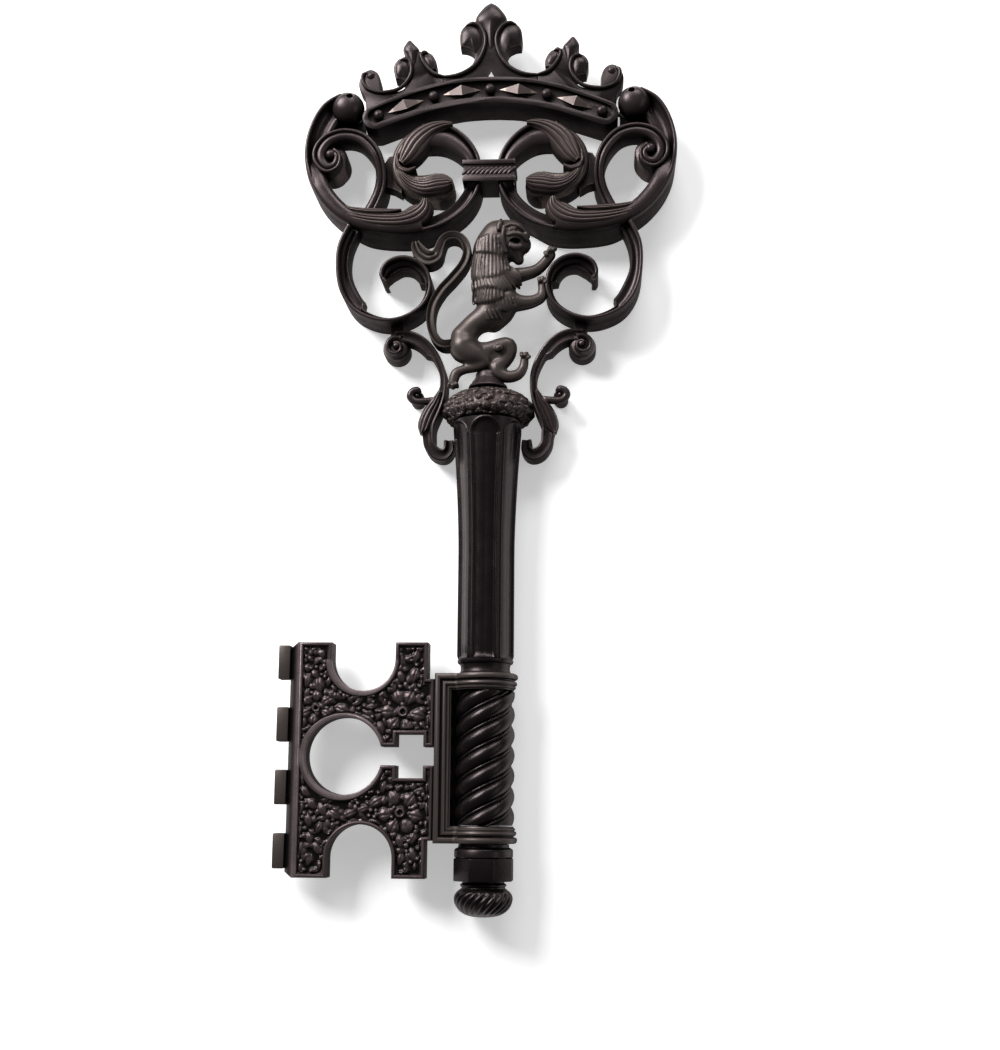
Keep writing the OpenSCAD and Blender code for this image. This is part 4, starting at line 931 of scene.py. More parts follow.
def wide_rim(x, z, radius, start, end, widest, least, most):
    """Smooth border round an opening, that widens from least to most towards one direction."""
    sections = []
    for a in np.radians(np.linspace(start, end, 60)):
        width = least + (most - least) * (0.5 + 0.5 * math.cos(a - math.radians(widest))) ** 1.5
        rows = [(radius + 0.4, 24.2), (radius + 0.4, 26.9), (radius + 0.8, 27.05),
                (radius + width - 0.5, 27.05), (radius + width, 26.6), (radius + width + 0.2, 24.2)]
        sections.append([(x + r * math.cos(a), -out, z + r * math.sin(a)) for r, out in rows])
    return capped(sections)


PLATE_LEAVES = [
    # upper left arm, from the top down: place, direction, length, width, height
    (-103, 160.6, 120, 7, 4.4, 2.3), (-110.6, 161, 60, 5, 3, 2.0), (-106.6, 155.6, 50, 6, 3, 2.1),
    (-112.2, 151.4, 110, 6, 3.6, 2.1), (-101.6, 152.4, 80, 5, 3.2, 2.1), (-107, 147.6, 130, 7, 4, 2.2),
    (-112, 143.4, 80, 10, 4.6, 2.3), (-104.4, 140.6, 95, 11, 6.4, 2.4), (-98.4, 143, 75, 7, 3.4, 2.1),
    (-112.6, 135.6, 60, 7, 3.6, 2.2), (-88.4, 125.4, 160, 11, 6.6, 2.4), (-79.4, 121.8, 165, 9, 4.6, 2.3),
    (-80.6, 129.6, 20, 7, 3, 2.1), (-72.6, 119.6, 150, 9, 4.4, 2.3), (-71.6, 127.6, 10, 8, 3.6, 2.2),
    (-64.8, 113.6, 105, 9, 4.6, 2.2), (-62.4, 106.4, 95, 6, 3.4, 2.0), (-66.6, 121.2, 60, 6, 3.2, 2.1),
    (-113.6, 117.4, 85, 8, 3.6, 2.2), (-109.6, 110.6, 75, 6, 3, 2.1),
    # upper right arm
    (-52.4, 146, 115, 9, 4.6, 2.2), (-44.4, 146.6, 70, 11, 6, 2.4), (-52.6, 157, 120, 11, 5, 2.3),
    (-43.4, 158.6, 75, 9, 4.4, 2.2), (-48.2, 164, 90, 5, 3, 2.0), (-34.6, 118.6, 85, 8, 3.4, 2.1),
    (-34.4, 130.6, 90, 8, 3.4, 2.1), (-34.6, 107.6, 90, 7, 3, 2.0),
    # lower left arm
    (-113.4, 82, 110, 8, 3.8, 2.2), (-111, 74.6, 130, 9, 5, 2.3), (-106.6, 67, 130, 9, 5, 2.3),
    (-113.8, 64.6, 80, 9, 4, 2.2), (-100, 63.4, 115, 9, 5, 2.3), (-108.6, 57, 105, 9, 5, 2.3),
    (-114.4, 51.4, 85, 8, 3.6, 2.2), (-102, 52.6, 65, 8, 4.4, 2.2), (-107.6, 46, 100, 8, 4.6, 2.2),
    (-113.6, 39.6, 75, 8, 4, 2.2), (-102.6, 40, 110, 9, 4.6, 2.3), (-107.6, 33, 70, 8, 4.4, 2.2),
    (-100.8, 30, 100, 6, 3.2, 2.1), (-113.4, 28.6, 90, 7, 4, 2.1),
    # below the ward hole
    (-92, 60.6, 150, 9, 5, 2.2), (-83.6, 61.4, 25, 10, 5, 2.3), (-75, 64.4, 20, 9, 4.6, 2.2),
    (-67.4, 68.4, 30, 11, 5.6, 2.4), (-62.4, 77.4, 80, 8, 4, 2.2), (-60.4, 87, 40, 5, 3, 2.0),
    (-34.6, 78, 90, 8, 3.4, 2.1), (-34.6, 64.6, 90, 8, 3.4, 2.1), (-34.8, 87, 90, 6, 3, 2.0),
    # lower right arm
    (-51.4, 44.4, 105, 9, 5, 2.3), (-43.4, 46.6, 70, 9, 4.6, 2.2), (-50.8, 34, 75, 9, 4.6, 2.2),
    (-43, 36.6, 110, 9, 4.4, 2.2), (-47.4, 27.4, 80, 6, 3.6, 2.1)]
# Flowers: place, radius, directions of the petals and height
PLATE_FLOWERS = [(-51, 124.6, 14, (64, -13, -74, -128, 180, 108), 2.5),
                 (-51.6, 62.6, 14, (53, -12, -63, -116, 189, 115), 2.5),
                 (-106, 126.8, 11, (35, -28, -100, 205, 140, 88), 2.4)]


def plate_relief():
    """Foliage over the sunk ground of the bit, on a grid of 0.55 mm, fading into the ground."""
    pitch = 0.55
    xs = np.arange(PLATE_LEFT + 1, PLATE_RIGHT - 2.4, pitch)
    zs = np.arange(PLATE_LOW + 2, PLATE_TOP - 2, pitch)
    u, v = np.meshgrid(xs, zs, indexing="ij")
    inside = inside_loop(inset(outline, 2.2), u, v)
    deep = inside_loop(inset(outline, 3.3), u, v)
    high = relief_height(u, v, PLATE_LEAVES, PLATE_FLOWERS, 7, 1500,
                         (PLATE_LEFT, PLATE_RIGHT, PLATE_LOW, PLATE_TOP), grow=1.2)
    high = high * np.where(deep, 1.0, 0.45) + 0.05
    full = inside[:-1, :-1] & inside[1:, :-1] & inside[:-1, 1:] & inside[1:, 1:]
    index = np.arange(u.size).reshape(u.shape)
    front = np.stack([u, -(GROUND + high), v], -1).reshape(-1, 3)
    rear = np.stack([u, np.full_like(u, -RELIEF_BACK), v], -1).reshape(-1, 3)
    total = len(front)
    a, b = index[:-1, :-1][full], index[1:, :-1][full]
    c, d = index[1:, 1:][full], index[:-1, 1:][full]
    faces = np.concatenate([np.stack([a, b, c, d], 1), np.stack([d, c, b, a], 1) + total])
    edges = {}
    for quad in faces[:len(a)].tolist():
        for i in range(4):
            edges[(quad[i], quad[(i + 1) % 4])] = True
    sides = [(q, p, p + total, q + total) for p, q in edges if (q, p) not in edges]
    used = np.unique(faces)
    place = np.full(2 * total, -1)
    place[used] = np.arange(len(used))
    return np.concatenate([front, rear])[used], [tuple(place[list(f)]) for f in faces.tolist() + sides]


ward_rim = wide_rim(*WARD, WARD_R, 20, 340, 215, 1.8, 4.4)
bay_rim = wide_rim(BAY_X, BAY_TOP, BAY_R, 184, 356, 225, 1.8, 4.0)
cast("bit_with_foliage", joined(plate, bevel_bar(), ward_rim, bay_rim), FOLIAGE, "bit_plate",
     slot="rubbed_castings")
cast("bit_foliage", plate_relief(), FOLIAGE, slot="rubbed_castings", smooth=60)


# Capital
def foliate_cushion():
    """Cushion capital covered with foliage, which is laid out flat at its mean radius."""
    low, high, out, mean, count = 312.0, 335.0, 12.0, 26, 22
    profile = curve([(23.1, low), (25.8, low + 1.4), (28, low + 3.6), (30, low + 6.4), (30.4, low + 9),
                     (29.8, low + 12), (28.3, low + 14.6), (25.6, low + 17.6), (22.2, low + 20.2),
                     (15.2, high)], 10)
    angle = around(420)
    run = np.concatenate([[0], np.cumsum(np.linalg.norm(np.diff(profile, axis=0), axis=1))])
    u, v = np.meshgrid((angle - 1.5 * math.pi) * mean, run, indexing="xy")
    leaves = []
    rng = np.random.default_rng(11)
    for row, (level, long, wide) in enumerate(((4.4, 7, 5.6), (10.6, 8, 5.6), (17, 8, 5), (23, 7, 4.6))):
        for k in range(count):
            x = (k + 0.5 * (row % 2)) * 2 * math.pi * mean / count - 1.5 * math.pi * mean
            leaves.append((x + rng.uniform(-1, 1), level + rng.uniform(-1, 1), rng.uniform(240, 300), long,
                           wide, 2.4))
    raised = relief_height(u, v, leaves, [], 5, 600, (u.min(), u.max(), 0, run[-1]))
    rim = np.interp(np.arange(len(profile)), [0, 6, len(profile) - 8, len(profile) - 1], [0, 1, 1, 0])
    return capped([level_ring(radius - 1.6 + rim[i] * raised[i], angle, z, out)
                   for i, (radius, z) in enumerate(profile)])


cast("capital_with_foliage", foliate_cushion(), LEAF, "capital", slot="rubbed_castings", smooth=60)
PLINTH_PROFILE = [(0.01, 335.2), (12.6, 335.2), (12.8, 335.8), (12.4, 336.8), (10.8, 338.4), (10.4, 339.6),
                  (9, 341), (8.2, 343), (8, 345.2), (7, 346.6), (4.8, 347.6), (0.01, 347.7)]
cast("plinth_turned", turned(PLINTH_PROFILE), RUBBED, "lion_plinth", slot="rubbed_castings")


# Lion

# Distance of the lion's middle plane from the wall
LION_OUT = 21.0
# Limbs: x, distance in front of the middle plane, height and radius
LION = {
    "torso": [[6, 2, 438, 11.5], [1.5, 1, 430, 12], [1, 0, 420, 12.2], [3, 0, 410, 13], [4.4, 0, 400, 13.8],
              [3.4, 0, 391, 12.4], [-1, 1, 383.4, 9.8], [-9.5, 1, 377.5, 7.8], [-16.2, 1, 369.4, 8.6]],
    "head": [[6, 2, 438, 11.5], [15, 4, 437, 11.6], [16.4, 5, 434.4, 10.4]],
    "muzzle": [[17, 4.6, 434.6, 9.0], [21.6, 5, 431.4, 6.8]],
    "jaw": [[13.6, 4, 429, 8.6], [18, 4.4, 424.6, 5.6], [20, 4, 421.2, 3.6]],
    "belly": [[7, 0, 395, 10], [9.6, 0, 388.6, 8.8], [3, 0, 381, 8.0]],
    "calf": [[4.6, 1, 356.4, 4.6], [9, 1.4, 356.4, 4.6]],
    "high_arm": [[10, 3, 409, 8], [20, 3, 411, 5.2], [30, 3, 413.6, 4.2], [36, 3.4, 418, 3.8],
                 [41, 4, 424.4, 3.6]],
    "low_arm": [[12, 4, 393.4, 8.6], [21, 4, 391.6, 5.6], [29, 3, 392.8, 4.4], [35, 3, 396, 3.8],
                [35.8, 3, 401, 3.2], [35.2, 3, 405.8, 3]],
    "left_leg": [[-16.2, 1, 369.4, 8.6], [-15.4, 2, 362, 10.2], [-11, 3, 358, 8.4], [-5, 3, 355, 6.6],
                 [-2, 3, 351.4, 4.8], [-8, 3, 348.6, 3.6], [-15, 3, 347, 3.2], [-20.6, 3, 344.4, 3.6],
                 [-22.4, 3, 338.6, 3.4]],
    "right_leg": [[-8, 0, 361, 5.6], [0, 1, 360.2, 6], [8, 1, 362.4, 6.2], [13.2, 1, 363.2, 5.8],
                  [13.8, 1, 357.8, 4.8], [10.2, 1, 352.6, 5], [6, 2, 348.4, 5], [7, 2, 344.4, 4.8],
                  [13, 2, 342, 4.2], [19.6, 2, 343.4, 3.8], [23.2, 2, 348, 3.2], [24, 2, 353.6, 3]]}


def ball(x, out, z, radius, stretch=(1, 1, 1)):
    """Round lump, out in front of the middle plane of the lion."""
    rings = []
    angle = around(24)
    for t in np.linspace(-math.pi / 2 + 0.02, math.pi / 2 - 0.02, 13):
        r = radius * math.cos(t)
        rings.append(np.stack([x + stretch[0] * r * np.cos(angle),
                               -LION_OUT - out + stretch[1] * r * np.sin(angle),
                               np.full_like(angle, z + stretch[2] * radius * math.sin(t))], 1))
    return capped(rings)


def limb(knots, steps):
    """Round limb of changing thickness through x, distance in front, height and radius."""
    line = curve(knots, steps)
    path = np.stack([line[:, 0], -LION_OUT - line[:, 1], line[:, 2]], 1)
    return joined(swept(path, line[:, 3], 20), ball(*line[0]), ball(*line[-1]))


def remeshed(piece, size, rounds):
    """Joins overlapping shapes into one skin and smooths it."""
    skin = piece.modifiers.new("skin", "REMESH")
    skin.mode = "VOXEL"
    skin.voxel_size = size * MM
    skin.adaptivity = 0.0
    soft = piece.modifiers.new("soft", "SMOOTH")
    soft.factor = 0.5
    soft.iterations = rounds
    return applied(piece)


body = remeshed(make("lion_body", joined(*[limb(knots, 4) for knots in LION.values()]), SATIN), 0.9, 8)
skin_points = points_of(body) / MM + [0, 0, ORIGIN_Z]


def front_of_body(x, z):
    """How far the lion's skin stands in front of its middle plane at a place in the front view."""
    away = np.hypot(skin_points[:, 0] - x, skin_points[:, 2] - z)
    near = away < max(1.6, away.min() + 0.4)
    return -skin_points[near, 1].min() - LION_OUT


def stroke(places, lift):
    """Raised stroke over the lion's skin through places of x, height and radius."""
    return limb([[x, front_of_body(x, z) + lift, z, r] for x, z, r in places], 3)


def part_way(line, share):
    """Place at a share of a run of points."""
    line = np.asarray(line, float)
    at = share * (len(line) - 1)
    return np.array([np.interp(at, range(len(line)), line[:, i]) for i in (0, 1)])


# Rows of the mane and the fur: their upper and lower edges, how many locks, and how thick
MANE_ROWS = [
    ([(-6.4, 434), (0, 436), (9.6, 433)], [(-7, 424.4), (-3.1, 423.7), (3.3, 423), (9.4, 422)], 9, 1.1),
    ([(-7.4, 427.6), (-2, 428.6), (5, 428), (10.6, 425.4)],
     [(-10.2, 407.6), (-5.8, 405.8), (1.6, 405.4), (8.2, 407.4), (13.6, 411.8)], 12, 1.35),
    ([(-9, 411.6), (-1, 411.4), (7, 412.6), (12.6, 416.6)],
     [(-9.8, 399.6), (-3.9, 399.6), (3, 399), (9.8, 397.6), (15.6, 399.4), (21.6, 402.8), (21.8, 408)],
     16, 1.3),
    ([(-8.6, 403.6), (0, 403.4), (8, 402.4)], [(-9.6, 391.6), (-4.6, 390.2), (1.6, 389.8), (10, 392.6)],
     11, 1.1),
    ([(6, 392), (11, 392), (17, 392.6)], [(8.6, 384.8), (13.4, 384.6), (18.6, 387)], 6, 0.9),
    ([(-1, 384.6), (6, 385.6)], [(1, 378.6), (9, 380)], 4, 0.8)]
# Along a lock: share of the way, how far it swings aside, how far it stands out, and how wide it is
LOCK = [(0, 0, -0.3, 0.55), (0.35, 0.9, -0.15, 0.75), (0.7, 0.8, 0.0, 0.95), (0.92, 0.2, 0.15, 1.0),
        (1, 0, 0.0, 0.7)]


def lock(start, end, lean, thick):
    """One lock of hair over the skin, curved to one side."""
    bend = np.array([end[1] - start[1], start[0] - end[0]]) * 0.1 * lean
    knots = []
    for share, swing, rise, wide in LOCK:
        x, z = start + (end - start) * share + bend * swing
        knots.append([x, front_of_body(x, z) + thick * rise, z, thick * wide])
    return limb(knots, 3)


HAIR = [lock(part_way(upper, t), part_way(lower, t), 0.6 - t, thick)
        for upper, lower, count, thick in MANE_ROWS for t in np.arange(count) / (count - 1)]
# Ear, brow, eye, upper lip, nose, cheek and lower lip: x, height and radius along each
FACE = [
    stroke([(7.2, 438.8, 1.5), (8, 442.6, 2.0), (8.6, 446, 1.0)], 0.9),
    stroke([(10.8, 440.6, 0.9), (15.4, 442, 1.3), (20.6, 440.6, 1.4), (25.4, 437, 1.4)], 0.2),
    stroke([(15.8, 438.6, 1.1), (17.6, 438.6, 1.1)], 0.2),
    stroke([(13.6, 434.8, 1.1), (17.8, 435.6, 1.4), (22.4, 434.8, 1.6), (25.4, 432.2, 1.4)], 0.1),
    stroke([(25, 435.8, 1.5), (26.6, 434.8, 1.4)], 0.6),
    stroke([(10.6, 438.4, 1.2), (10, 434, 1.5), (10.4, 429.4, 1.5), (12.4, 424.6, 1.3)], 0.2),
    stroke([(15, 427.6, 1.4), (18.4, 426.6, 2.1), (21.8, 427.6, 1.6)], 0.8)]
# Toes of the four paws, and the knee of the right leg: place, direction and radius
TOES = [stroke([(x, z, r), (x + dx, z + dz, r)], 0.6) for x, z, dx, dz, r in (
    (40.4, 426.4, 0.4, 1.6, 1.7), (42.8, 426.8, 1, 1, 1.7), (38.4, 423.4, -0.8, 1.4, 1.5),
    (33.8, 406, -0.2, 1.6, 1.4), (35.8, 406.6, 0.2, 1.4, 1.4), (37.4, 405, 0.6, 1.2, 1.3),
    (-24.4, 336.4, -0.4, -1.4, 1.5), (-22.2, 335.6, 0, -1.4, 1.5), (-20, 336.4, 0.4, -1.4, 1.4),
    (22.4, 355.6, -0.2, 1.4, 1.5), (24.8, 355.8, 0.6, 1.2, 1.5), (26.4, 354, 0.8, 0.8, 1.3),
    (7, 359.8, 1.4, 0.6, 2.4))]
detail = make("lion_detail", joined(*HAIR, *TOES, *FACE), SATIN)
lion = linked("lion_cast", bpy.data.meshes.new("lion_cast"))
bm = bmesh.new()
bm.from_mesh(body.data)
bm.from_mesh(detail.data)
bm.to_mesh(lion.data)
bm.free()
lion.data.materials.append(SATIN)
for helper in (body, detail):
    bpy.data.objects.remove(helper)
remeshed(lion, 0.5, 2)
cut_away(lion, ball(18.2, 14.4, 431, 4.0, (1.0, 1.0, 0.46)), "mouth")
tidy(lion.data, 70)
dress(lion, "lion", slot="rubbed_castings")


TAIL = [[-19, 365, 1], [-29.5, 364, 1], [-35.3, 370, 1], [-37.8, 380, 1], [-36.4, 391, 1],
        [-31, 401, 1], [-23.6, 409.5, 1], [-17.4, 417.5, 1], [-14.4, 425, 1], [-15, 432, 1],
        [-19, 437.3, 1], [-25, 438.6, 1], [-30, 436, 1], [-32.6, 430, 1.15], [-35, 424.8, 1.6],
        [-40, 423.2, 2.0], [-44.6, 426, 1.9], [-47.4, 430.6, 1.5], [-48.4, 434.4, 0.9]]


def tail_section(u):
    """Deep ribbon with a rim at its left edge and a groove beside it."""
    back, out = 13.5, 28.5
    tuft = blend(u, 13.2, 14.4)
    rows = [(1, 0, back), (1, 0, out - 1.2), (0.94, 0, out - 0.5), (0.8, 0, out - 0.2)]
    for s in np.linspace(0.6, -0.35, 8):
        ridge = abs(math.sin(math.pi * 3 * (s + 1) / 2))
        rows.append((s, 0, out - 0.9 - 1.5 * (1 - tuft) * (0.6 - s) / 0.95 + 1.4 * tuft * (ridge - 0.7)))
    rows += [(-0.55, 0, out - 1.9 + tuft), (-0.72, 0, out - 0.5), (-0.86, 0, out),
             (-0.97, 0, out - 0.4), (-1, 0, out - 1.4), (-1, 0, back)]
    return rows


cast("tail_with_tuft", ribbon(TAIL, 5.4, tail_section, 8), SATIN, "lion_tail", slot="rubbed_castings")


# Collar and crown
softened("scroll_collar", RUBBED, 0.45, "rubbed_castings")


def rope_turns(tree, size):
    """Slanting turns of a rope laid side by side along the collar."""
    step = out_of(tree, "ShaderNodeCombineXYZ", {"X": size["Pitch"]})
    places = out_of(tree, "GeometryNodeMeshLine", {"Count": size["Turns"], "Offset": step})
    turn = out_of(tree, "GeometryNodeMeshUVSphere", {
        "Segments": 20, "Rings": 12, "Radius": size["Thickness"]})
    stretch = out_of(tree, "ShaderNodeCombineXYZ", {"X": 1.0, "Y": 0.8, "Z": size["Stretch"]})
    slant = out_of(tree, "ShaderNodeCombineXYZ", {"Y": size["Slant"]})
    return out_of(tree, "GeometryNodeInstanceOnPoints", {
        "Points": places, "Instance": turn, "Scale": stretch, "Rotation": slant})


rope = grown("collar_rope", rope_turns, {
    "Turns": 11, "Pitch": 0.003, "Thickness": 0.00155, "Stretch": 2.6, "Slant": 0.85}, RUBBED)
ROPE_START, ROPE_OUT, ROPE_Z = -15, 29.4, 482.5
rope.data.transform(Matrix.Translation((ROPE_START * MM, -ROPE_OUT * MM, (ROPE_Z - ORIGIN_Z) * MM)))
tidy(rope.data)
dress(rope, slot="rubbed_castings")

softened("crown_band", CAST, 0.45)
band_run = curve([[-77.5, 523.8], [-62, 530], [-42, 536.6], [-21, 540.8], [0, 542], [21, 540.8],
                  [42, 536.6], [62, 530], [77.5, 523.8]], 12)
# Distance between pearls, height of the field's middle over the band's, and its distance from the wall
PEARL_PITCH, FIELD_LIFT, FIELD_OUT = 38.2, 0.7, 23.9


def on_band(x):
    """Height of the sunk field's middle at x, and its slope."""
    z = np.interp([x - 1, x, x + 1], band_run[:, 0], band_run[:, 1]) + FIELD_LIFT
    return z[1], (z[2] - z[0]) / 2


def pearl(number):
    """Round pearl, counted from the middle. The outer two stand a little closer."""
    x = number * PEARL_PITCH * (0.985 if abs(number) == 2 else 1)
    return boss([(3.0, FIELD_OUT), (3.1, 24.6), (3.5, 25.2), (3.6, 26.2), (3.4, 27.2), (2.8, 28.1),
                 (1.9, 28.8), (0.9, 29.1), (0.01, 29.2)], x, on_band(x)[0], 32)


def lozenge(number):
    """Pointed lozenge with a ridge across it, laid along the slope of the band."""
    x = number * PEARL_PITCH
    z, slope = on_band(x)
    t = np.array([1, slope]) / math.hypot(1, slope)
    corners = [(-13, 0, FIELD_OUT), (0, -4.3, FIELD_OUT), (13, 0, FIELD_OUT), (0, 4.3, FIELD_OUT),
               (0, -3.6, 27.8), (0, 3.6, 27.8)]
    points = [(x + a * t[0] - b * t[1], -out, z + a * t[1] + b * t[0]) for a, b, out in corners]
    return points, [(0, 3, 2, 1), (0, 1, 4), (1, 2, 4), (2, 3, 5), (3, 0, 5), (0, 4, 5), (4, 2, 5)]


pearls = joined(*[pearl(number) for number in (-2, -1, 0, 1, 2)])
cast("crown_pearls_round", pearls, RUBBED, "crown_pearls", slot="rubbed_castings")
lozenges = joined(*[lozenge(number) for number in (-1.5, -0.5, 0.5, 1.5)])
cast("crown_lozenges_cut", lozenges, LEAF, "crown_lozenges", slot="rubbed_castings", smooth=12)

# Distances of the cresting's back and face from the wall
CREST_BACK, CREST_FACE = 12.0, 22.4


def crest_sheet(outline_2d):
    """Flat piece of the cresting with rounded front edges."""
    loop = np.asarray(outline_2d, float)
    runs_clockwise = np.sum(loop[:, 0] * np.roll(loop[:, 1], -1) - np.roll(loop[:, 0], -1) * loop[:, 1]) < 0
    if runs_clockwise:
        loop = loop[::-1]
    bevel = 0.7
    return stepped(loop, [(0, CREST_BACK), (0, CREST_FACE - bevel), (bevel * 0.3, CREST_FACE - bevel * 0.3),
                          (bevel, CREST_FACE)])


def pillow(outline_2d, centre, edge, top, power=0.5):
    """Swelling lump over an outline."""
    loop, middle = np.asarray(outline_2d, float), np.asarray(centre, float)
    rings = [np.insert(loop, 1, -CREST_BACK, axis=1)]
    for share in (1, 0.97, 0.9, 0.8, 0.65, 0.5, 0.3, 0.12, 0.01):
        out = edge + (top - edge) * (1 - share ** 2) ** power
        rings.append(np.insert(middle + (loop - middle) * share, 1, -out, axis=1))
    return capped(rings)


def outline_of(runs, last):
    """Outline through smooth runs that meet at points, and then through its last places."""
    return np.vstack([curve(run, 6)[:-1] for run in runs[:-1]] + [curve(runs[-1], 6), last])


def smooth_loop(loop):
    """Closed run through the points of a loop."""
    return curve(loop + loop[:1], 4)[:-1]


# Half of the middle cresting, from its tip down to the band
TIP = [[0, 608.5], [4.2, 606], [8.4, 601], [10.6, 597], [10.8, 594]]
LOBE = [[10.8, 594], [16.2, 593], [20.2, 588.8], [21.4, 583], [20.8, 575.8]]
ARM = [[20.8, 575.8], [16.4, 575], [12.4, 572.6], [10.9, 568.6], [12.8, 563], [17.8, 558.4],
       [24.2, 555.5], [31.8, 554.4]]
half = outline_of([TIP, LOBE, ARM], [[31.8, 540]])
whole = np.vstack([half, (half * [-1, 1])[:0:-1]])
bud_half = curve([[0, 608.5], [4.2, 606], [8.4, 601], [10.2, 597], [9.8, 593.4], [7, 590], [4.4, 585.6],
                  [3, 580], [1.8, 574], [0, 571]], 3)
bud = np.vstack([bud_half, (bud_half * [-1, 1])[-2:0:-1]])
# Rims: x, distance from the wall and height
GARLAND = [(17.4, 22.2, 591.6), (13, 23.0, 592.8), (8, 23.2, 590.8), (4.4, 23.2, 584.8), (3.8, 23.2, 577.4),
           (6.8, 23.2, 568), (12.4, 23.2, 560.4), (22, 23.0, 555.2), (33, 22.9, 554.4)]
BALL_LOBE = [[9, 590.6], [12.8, 592.6], [17, 592.2], [20.2, 588.6], [21.2, 583], [20.6, 576.2],
             [16.4, 575.4], [12.6, 573], [10.4, 569.2], [7.4, 572.4], [5, 578], [5.6, 584.8]]
lobe = pillow(smooth_loop(BALL_LOBE), (13.6, 583.4), 20.6, 24.4)
centre_parts = [crest_sheet(whole), pillow(bud, (0, 596), 21.2, 25, 0.6)]
for shape in (tube(GARLAND, 1.5), lobe):
    centre_parts += [shape, flipped(*shape)]
centre = make("fleur_centre_cast", joined(*centre_parts), CAST, 50)
# The gap leans back with the line of sight, so that the wall shows through it
GAP, GAP_LEAN = np.array([(-3, 552.4), (3, 552.4), (0, 558)]), 0.5
cut_away(centre, capped([np.insert(GAP + [0, GAP_LEAN * (CREST_FACE - out)], 1, -out, axis=1)
                         for out in (8, 40)]), "gap")
tidy(centre.data, 50)
dress(centre, "fleur_centre")

# Left cresting, from its inner end round to its end curl
SIDE_INNER = [[-31.7, 554.4], [-37.5, 555.8], [-40.6, 559], [-37.2, 560.2]]
SIDE_INNER_LOBE = [[-37.2, 560.2], [-37, 565], [-40.4, 571.4], [-45.6, 573.2], [-49.4, 573.6]]
SIDE_TIP = [[-49.4, 573.6], [-49.4, 575.6], [-52.4, 579], [-55.8, 582.2], [-58.8, 579], [-60.2, 575],
            [-58.6, 569.6]]
SIDE_OUTER = [[-58.6, 569.6], [-63.4, 568], [-66.5, 562.6], [-65, 553.6]]
SIDE_ARM = [[-65, 553.6], [-60.6, 552.8], [-57.2, 550], [-59.2, 546.4], [-64.6, 544.2], [-74.4, 543.8]]
END_CURL = [[-74.4, 543.8], [-74.8, 551.8], [-77.2, 558.2], [-82, 561], [-87.2, 558.6], [-90, 551.8],
            [-89, 545.4], [-85.6, 539.6], [-84.6, 531]]
side_outline = outline_of([SIDE_INNER, SIDE_INNER_LOBE, SIDE_TIP, SIDE_OUTER, SIDE_ARM, END_CURL],
                          [[-70, 525], [-31.7, 535]])
SIDE_BUD = [[-49, 574.8], [-52.2, 579], [-55.8, 582], [-58.6, 579], [-60, 575], [-57.4, 569.8],
            [-54, 562], [-51.8, 562], [-50.4, 569]]
INNER_RIM = [(-31, 22.9, 554.4), (-37.6, 23.0, 556), (-42.2, 23.0, 559.8), (-46, 23.0, 565.4),
             (-47.6, 23.0, 570.2), (-45.4, 22.8, 572.6), (-42.6, 22.2, 571.6)]
OUTER_RIM = [(-62.2, 22.2, 567.4), (-58.8, 22.9, 568), (-55.2, 23.0, 565.6), (-54, 23.0, 558.8),
             (-56.8, 23.0, 551.6), (-62.4, 23.0, 546), (-70.7, 23.0, 543.8), (-77.6, 23.0, 544),
             (-84.4, 23.0, 547), (-87.4, 23.0, 552.6), (-87, 22.8, 557), (-84.4, 22.2, 559)]
# Lobes beside the rims: outline, middle, and distance of the top from the wall
LOBES = [([[-38, 560.6], [-37.6, 565], [-40.6, 570.8], [-44.4, 572], [-46.8, 569.4], [-45.2, 564.4],
           [-41.8, 560]], (-41.8, 566), 23.2),
         ([[-59.4, 568.2], [-63.2, 567.4], [-66, 562.6], [-64.8, 554.2], [-60.6, 553.4], [-57, 553],
           [-54.8, 559], [-55.8, 565.6]], (-60.6, 561.4), 24.0),
         ([[-76, 544.6], [-75.8, 551.6], [-78, 557.6], [-82, 560], [-85.6, 558], [-87, 552.2], [-84.6, 547],
           [-80, 544.6]], (-81, 552.4), 21.8),
         ([[-79, 558.6], [-82, 559.6], [-85, 557.4], [-85, 554.4], [-81.6, 553], [-78.6, 555.4]],
          (-81.8, 556.6), 23.8)]
side_parts = [crest_sheet(side_outline), tube(INNER_RIM, 1.4), tube(OUTER_RIM, 1.4),
              pillow(smooth_loop(SIDE_BUD), (-54, 573), 21.2, 24.4)]
side_parts += [pillow(smooth_loop(loop), middle, 20.4, top) for loop, middle, top in LOBES]
pair("fleur", joined(*side_parts), CAST, smooth=50)


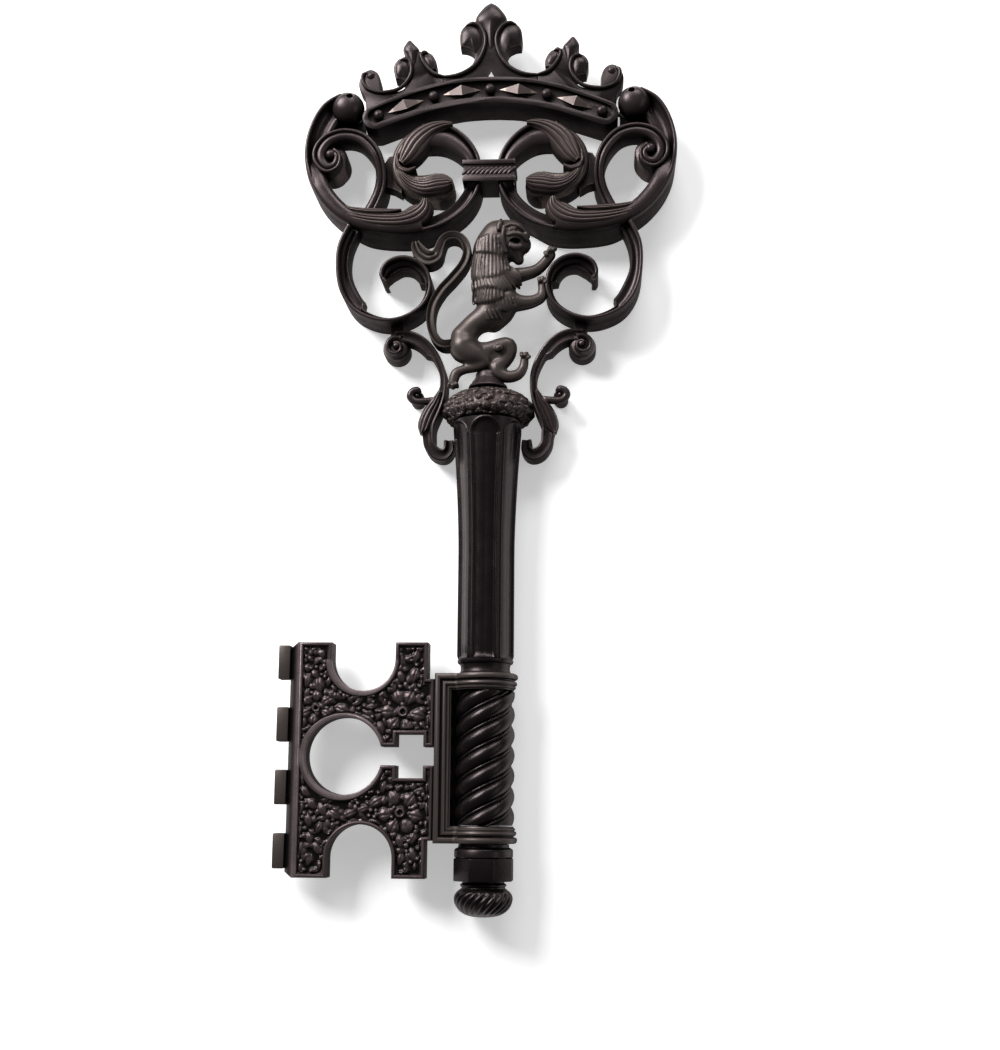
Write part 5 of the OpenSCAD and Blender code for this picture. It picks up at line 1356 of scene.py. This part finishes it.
# Stage, light and camera
def wall():
    """White wall behind the plaque, seen only from its front. It glows a little for the camera
    and in reflections, as a wall in a bright room does. That glow doesn't light the plaque."""
    material, tree = new_material("white_wall")
    side = add(tree, "ShaderNodeNewGeometry").outputs["Backfacing"]
    rays = add(tree, "ShaderNodeLightPath").outputs
    seen = math_of(tree, "MAXIMUM", rays["Is Camera Ray"], rays["Is Glossy Ray"])
    seen = math_of(tree, "MAXIMUM", seen, rays["Is Transmission Ray"])
    brightness = math_of(tree, "MULTIPLY", seen, 0.42)
    plaster = out_of(tree, "ShaderNodeBsdfDiffuse", {"Color": paint("#f4f4f4")})
    glow = out_of(tree, "ShaderNodeEmission", {"Color": WHITE, "Strength": brightness})
    front = out_of(tree, "ShaderNodeAddShader", {0: plaster, 1: glow})
    clear = out_of(tree, "ShaderNodeBsdfTransparent")
    both = out_of(tree, "ShaderNodeMixShader", {0: side, 1: front, 2: clear})
    add(tree, "ShaderNodeOutputMaterial", {"Surface": both})
    reach = 4000.0
    corners = [(x, 0.0, ORIGIN_Z + z) for x, z in ((-reach, -reach), (reach, -reach), (reach, reach),
                                                   (-reach, reach))]
    piece = make("wall", (corners, [(0, 1, 2, 3)]), material)
    if piece.data.polygons[0].normal.y > 0:
        piece.data.flip_normals()


def lamp(name, at, towards, size, power):
    """Rectangular lamp that looks at a place, both in metres."""
    data = bpy.data.lights.new(name, "AREA")
    data.shape = "RECTANGLE"
    data.size, data.size_y = size
    data.energy = power
    piece = linked(name, data)
    piece.location = at
    piece.rotation_euler = (Vector(towards) - Vector(at)).to_track_quat("-Z", "Y").to_euler()


def room_light():
    """Faint even light from the room."""
    world = bpy.data.worlds.new("room")
    bpy.context.scene.world = world
    world.use_nodes = True
    sky = world.node_tree
    sky.nodes.clear()
    room = out_of(sky, "ShaderNodeBackground", {"Color": paint("#fdfbff"), "Strength": 0.12})
    add(sky, "ShaderNodeOutputWorld", {"Surface": room})


def camera():
    """Camera below the middle of the plaque, turned up and to the left to take it in."""
    yaw, pitch, roll = (math.radians(a) for a in (-3.66, 10.68, 0.45))
    forward = Vector((math.sin(yaw) * math.cos(pitch), math.cos(yaw) * math.cos(pitch), math.sin(pitch)))
    level = Vector((math.cos(yaw), -math.sin(yaw), 0))
    rise = level.cross(forward)
    right = math.cos(roll) * level + math.sin(roll) * rise
    up = -math.sin(roll) * level + math.cos(roll) * rise
    lens = bpy.data.cameras.new("camera")
    lens.sensor_width = 36.0
    # The focal length is 1500 pixels of a picture 1050 high
    lens.lens = lens.sensor_width * 1500 / 1050
    piece = linked("camera", lens)
    turn = Matrix((right, up, -forward)).transposed().to_4x4()
    piece.matrix_world = Matrix.Translation((0.069, -0.964, (66 - ORIGIN_Z) * MM)) @ turn
    bpy.context.scene.camera = piece


wall()
room_light()
camera()
lamp("window_left", (-1.2, -1.15, 0.95), (0, 0, -0.25), (1.0, 1.0), 74)
lamp("soft_top", (0.25, -1.1, 1.5), (0, 0, -0.25), (1.2, 0.6), 22)
lamp("fill_right", (1.7, -1.2, -0.3), (0, 0, -0.3), (0.7, 1.6), 4)
bpy.context.scene.view_settings.view_transform = "Standard"

# Looks of the CAD pieces that show as they are
FINISH = {"castings": CAST, "rubbed_castings": RUBBED, "steel": STEEL}
slots = {s["node"]: s["material_slot"] for s in frame["record"]["subparts"]}
for name, piece in frame["nodes"].items():
    piece.data.materials.clear()
    piece.data.materials.append(FINISH[slots[name]])
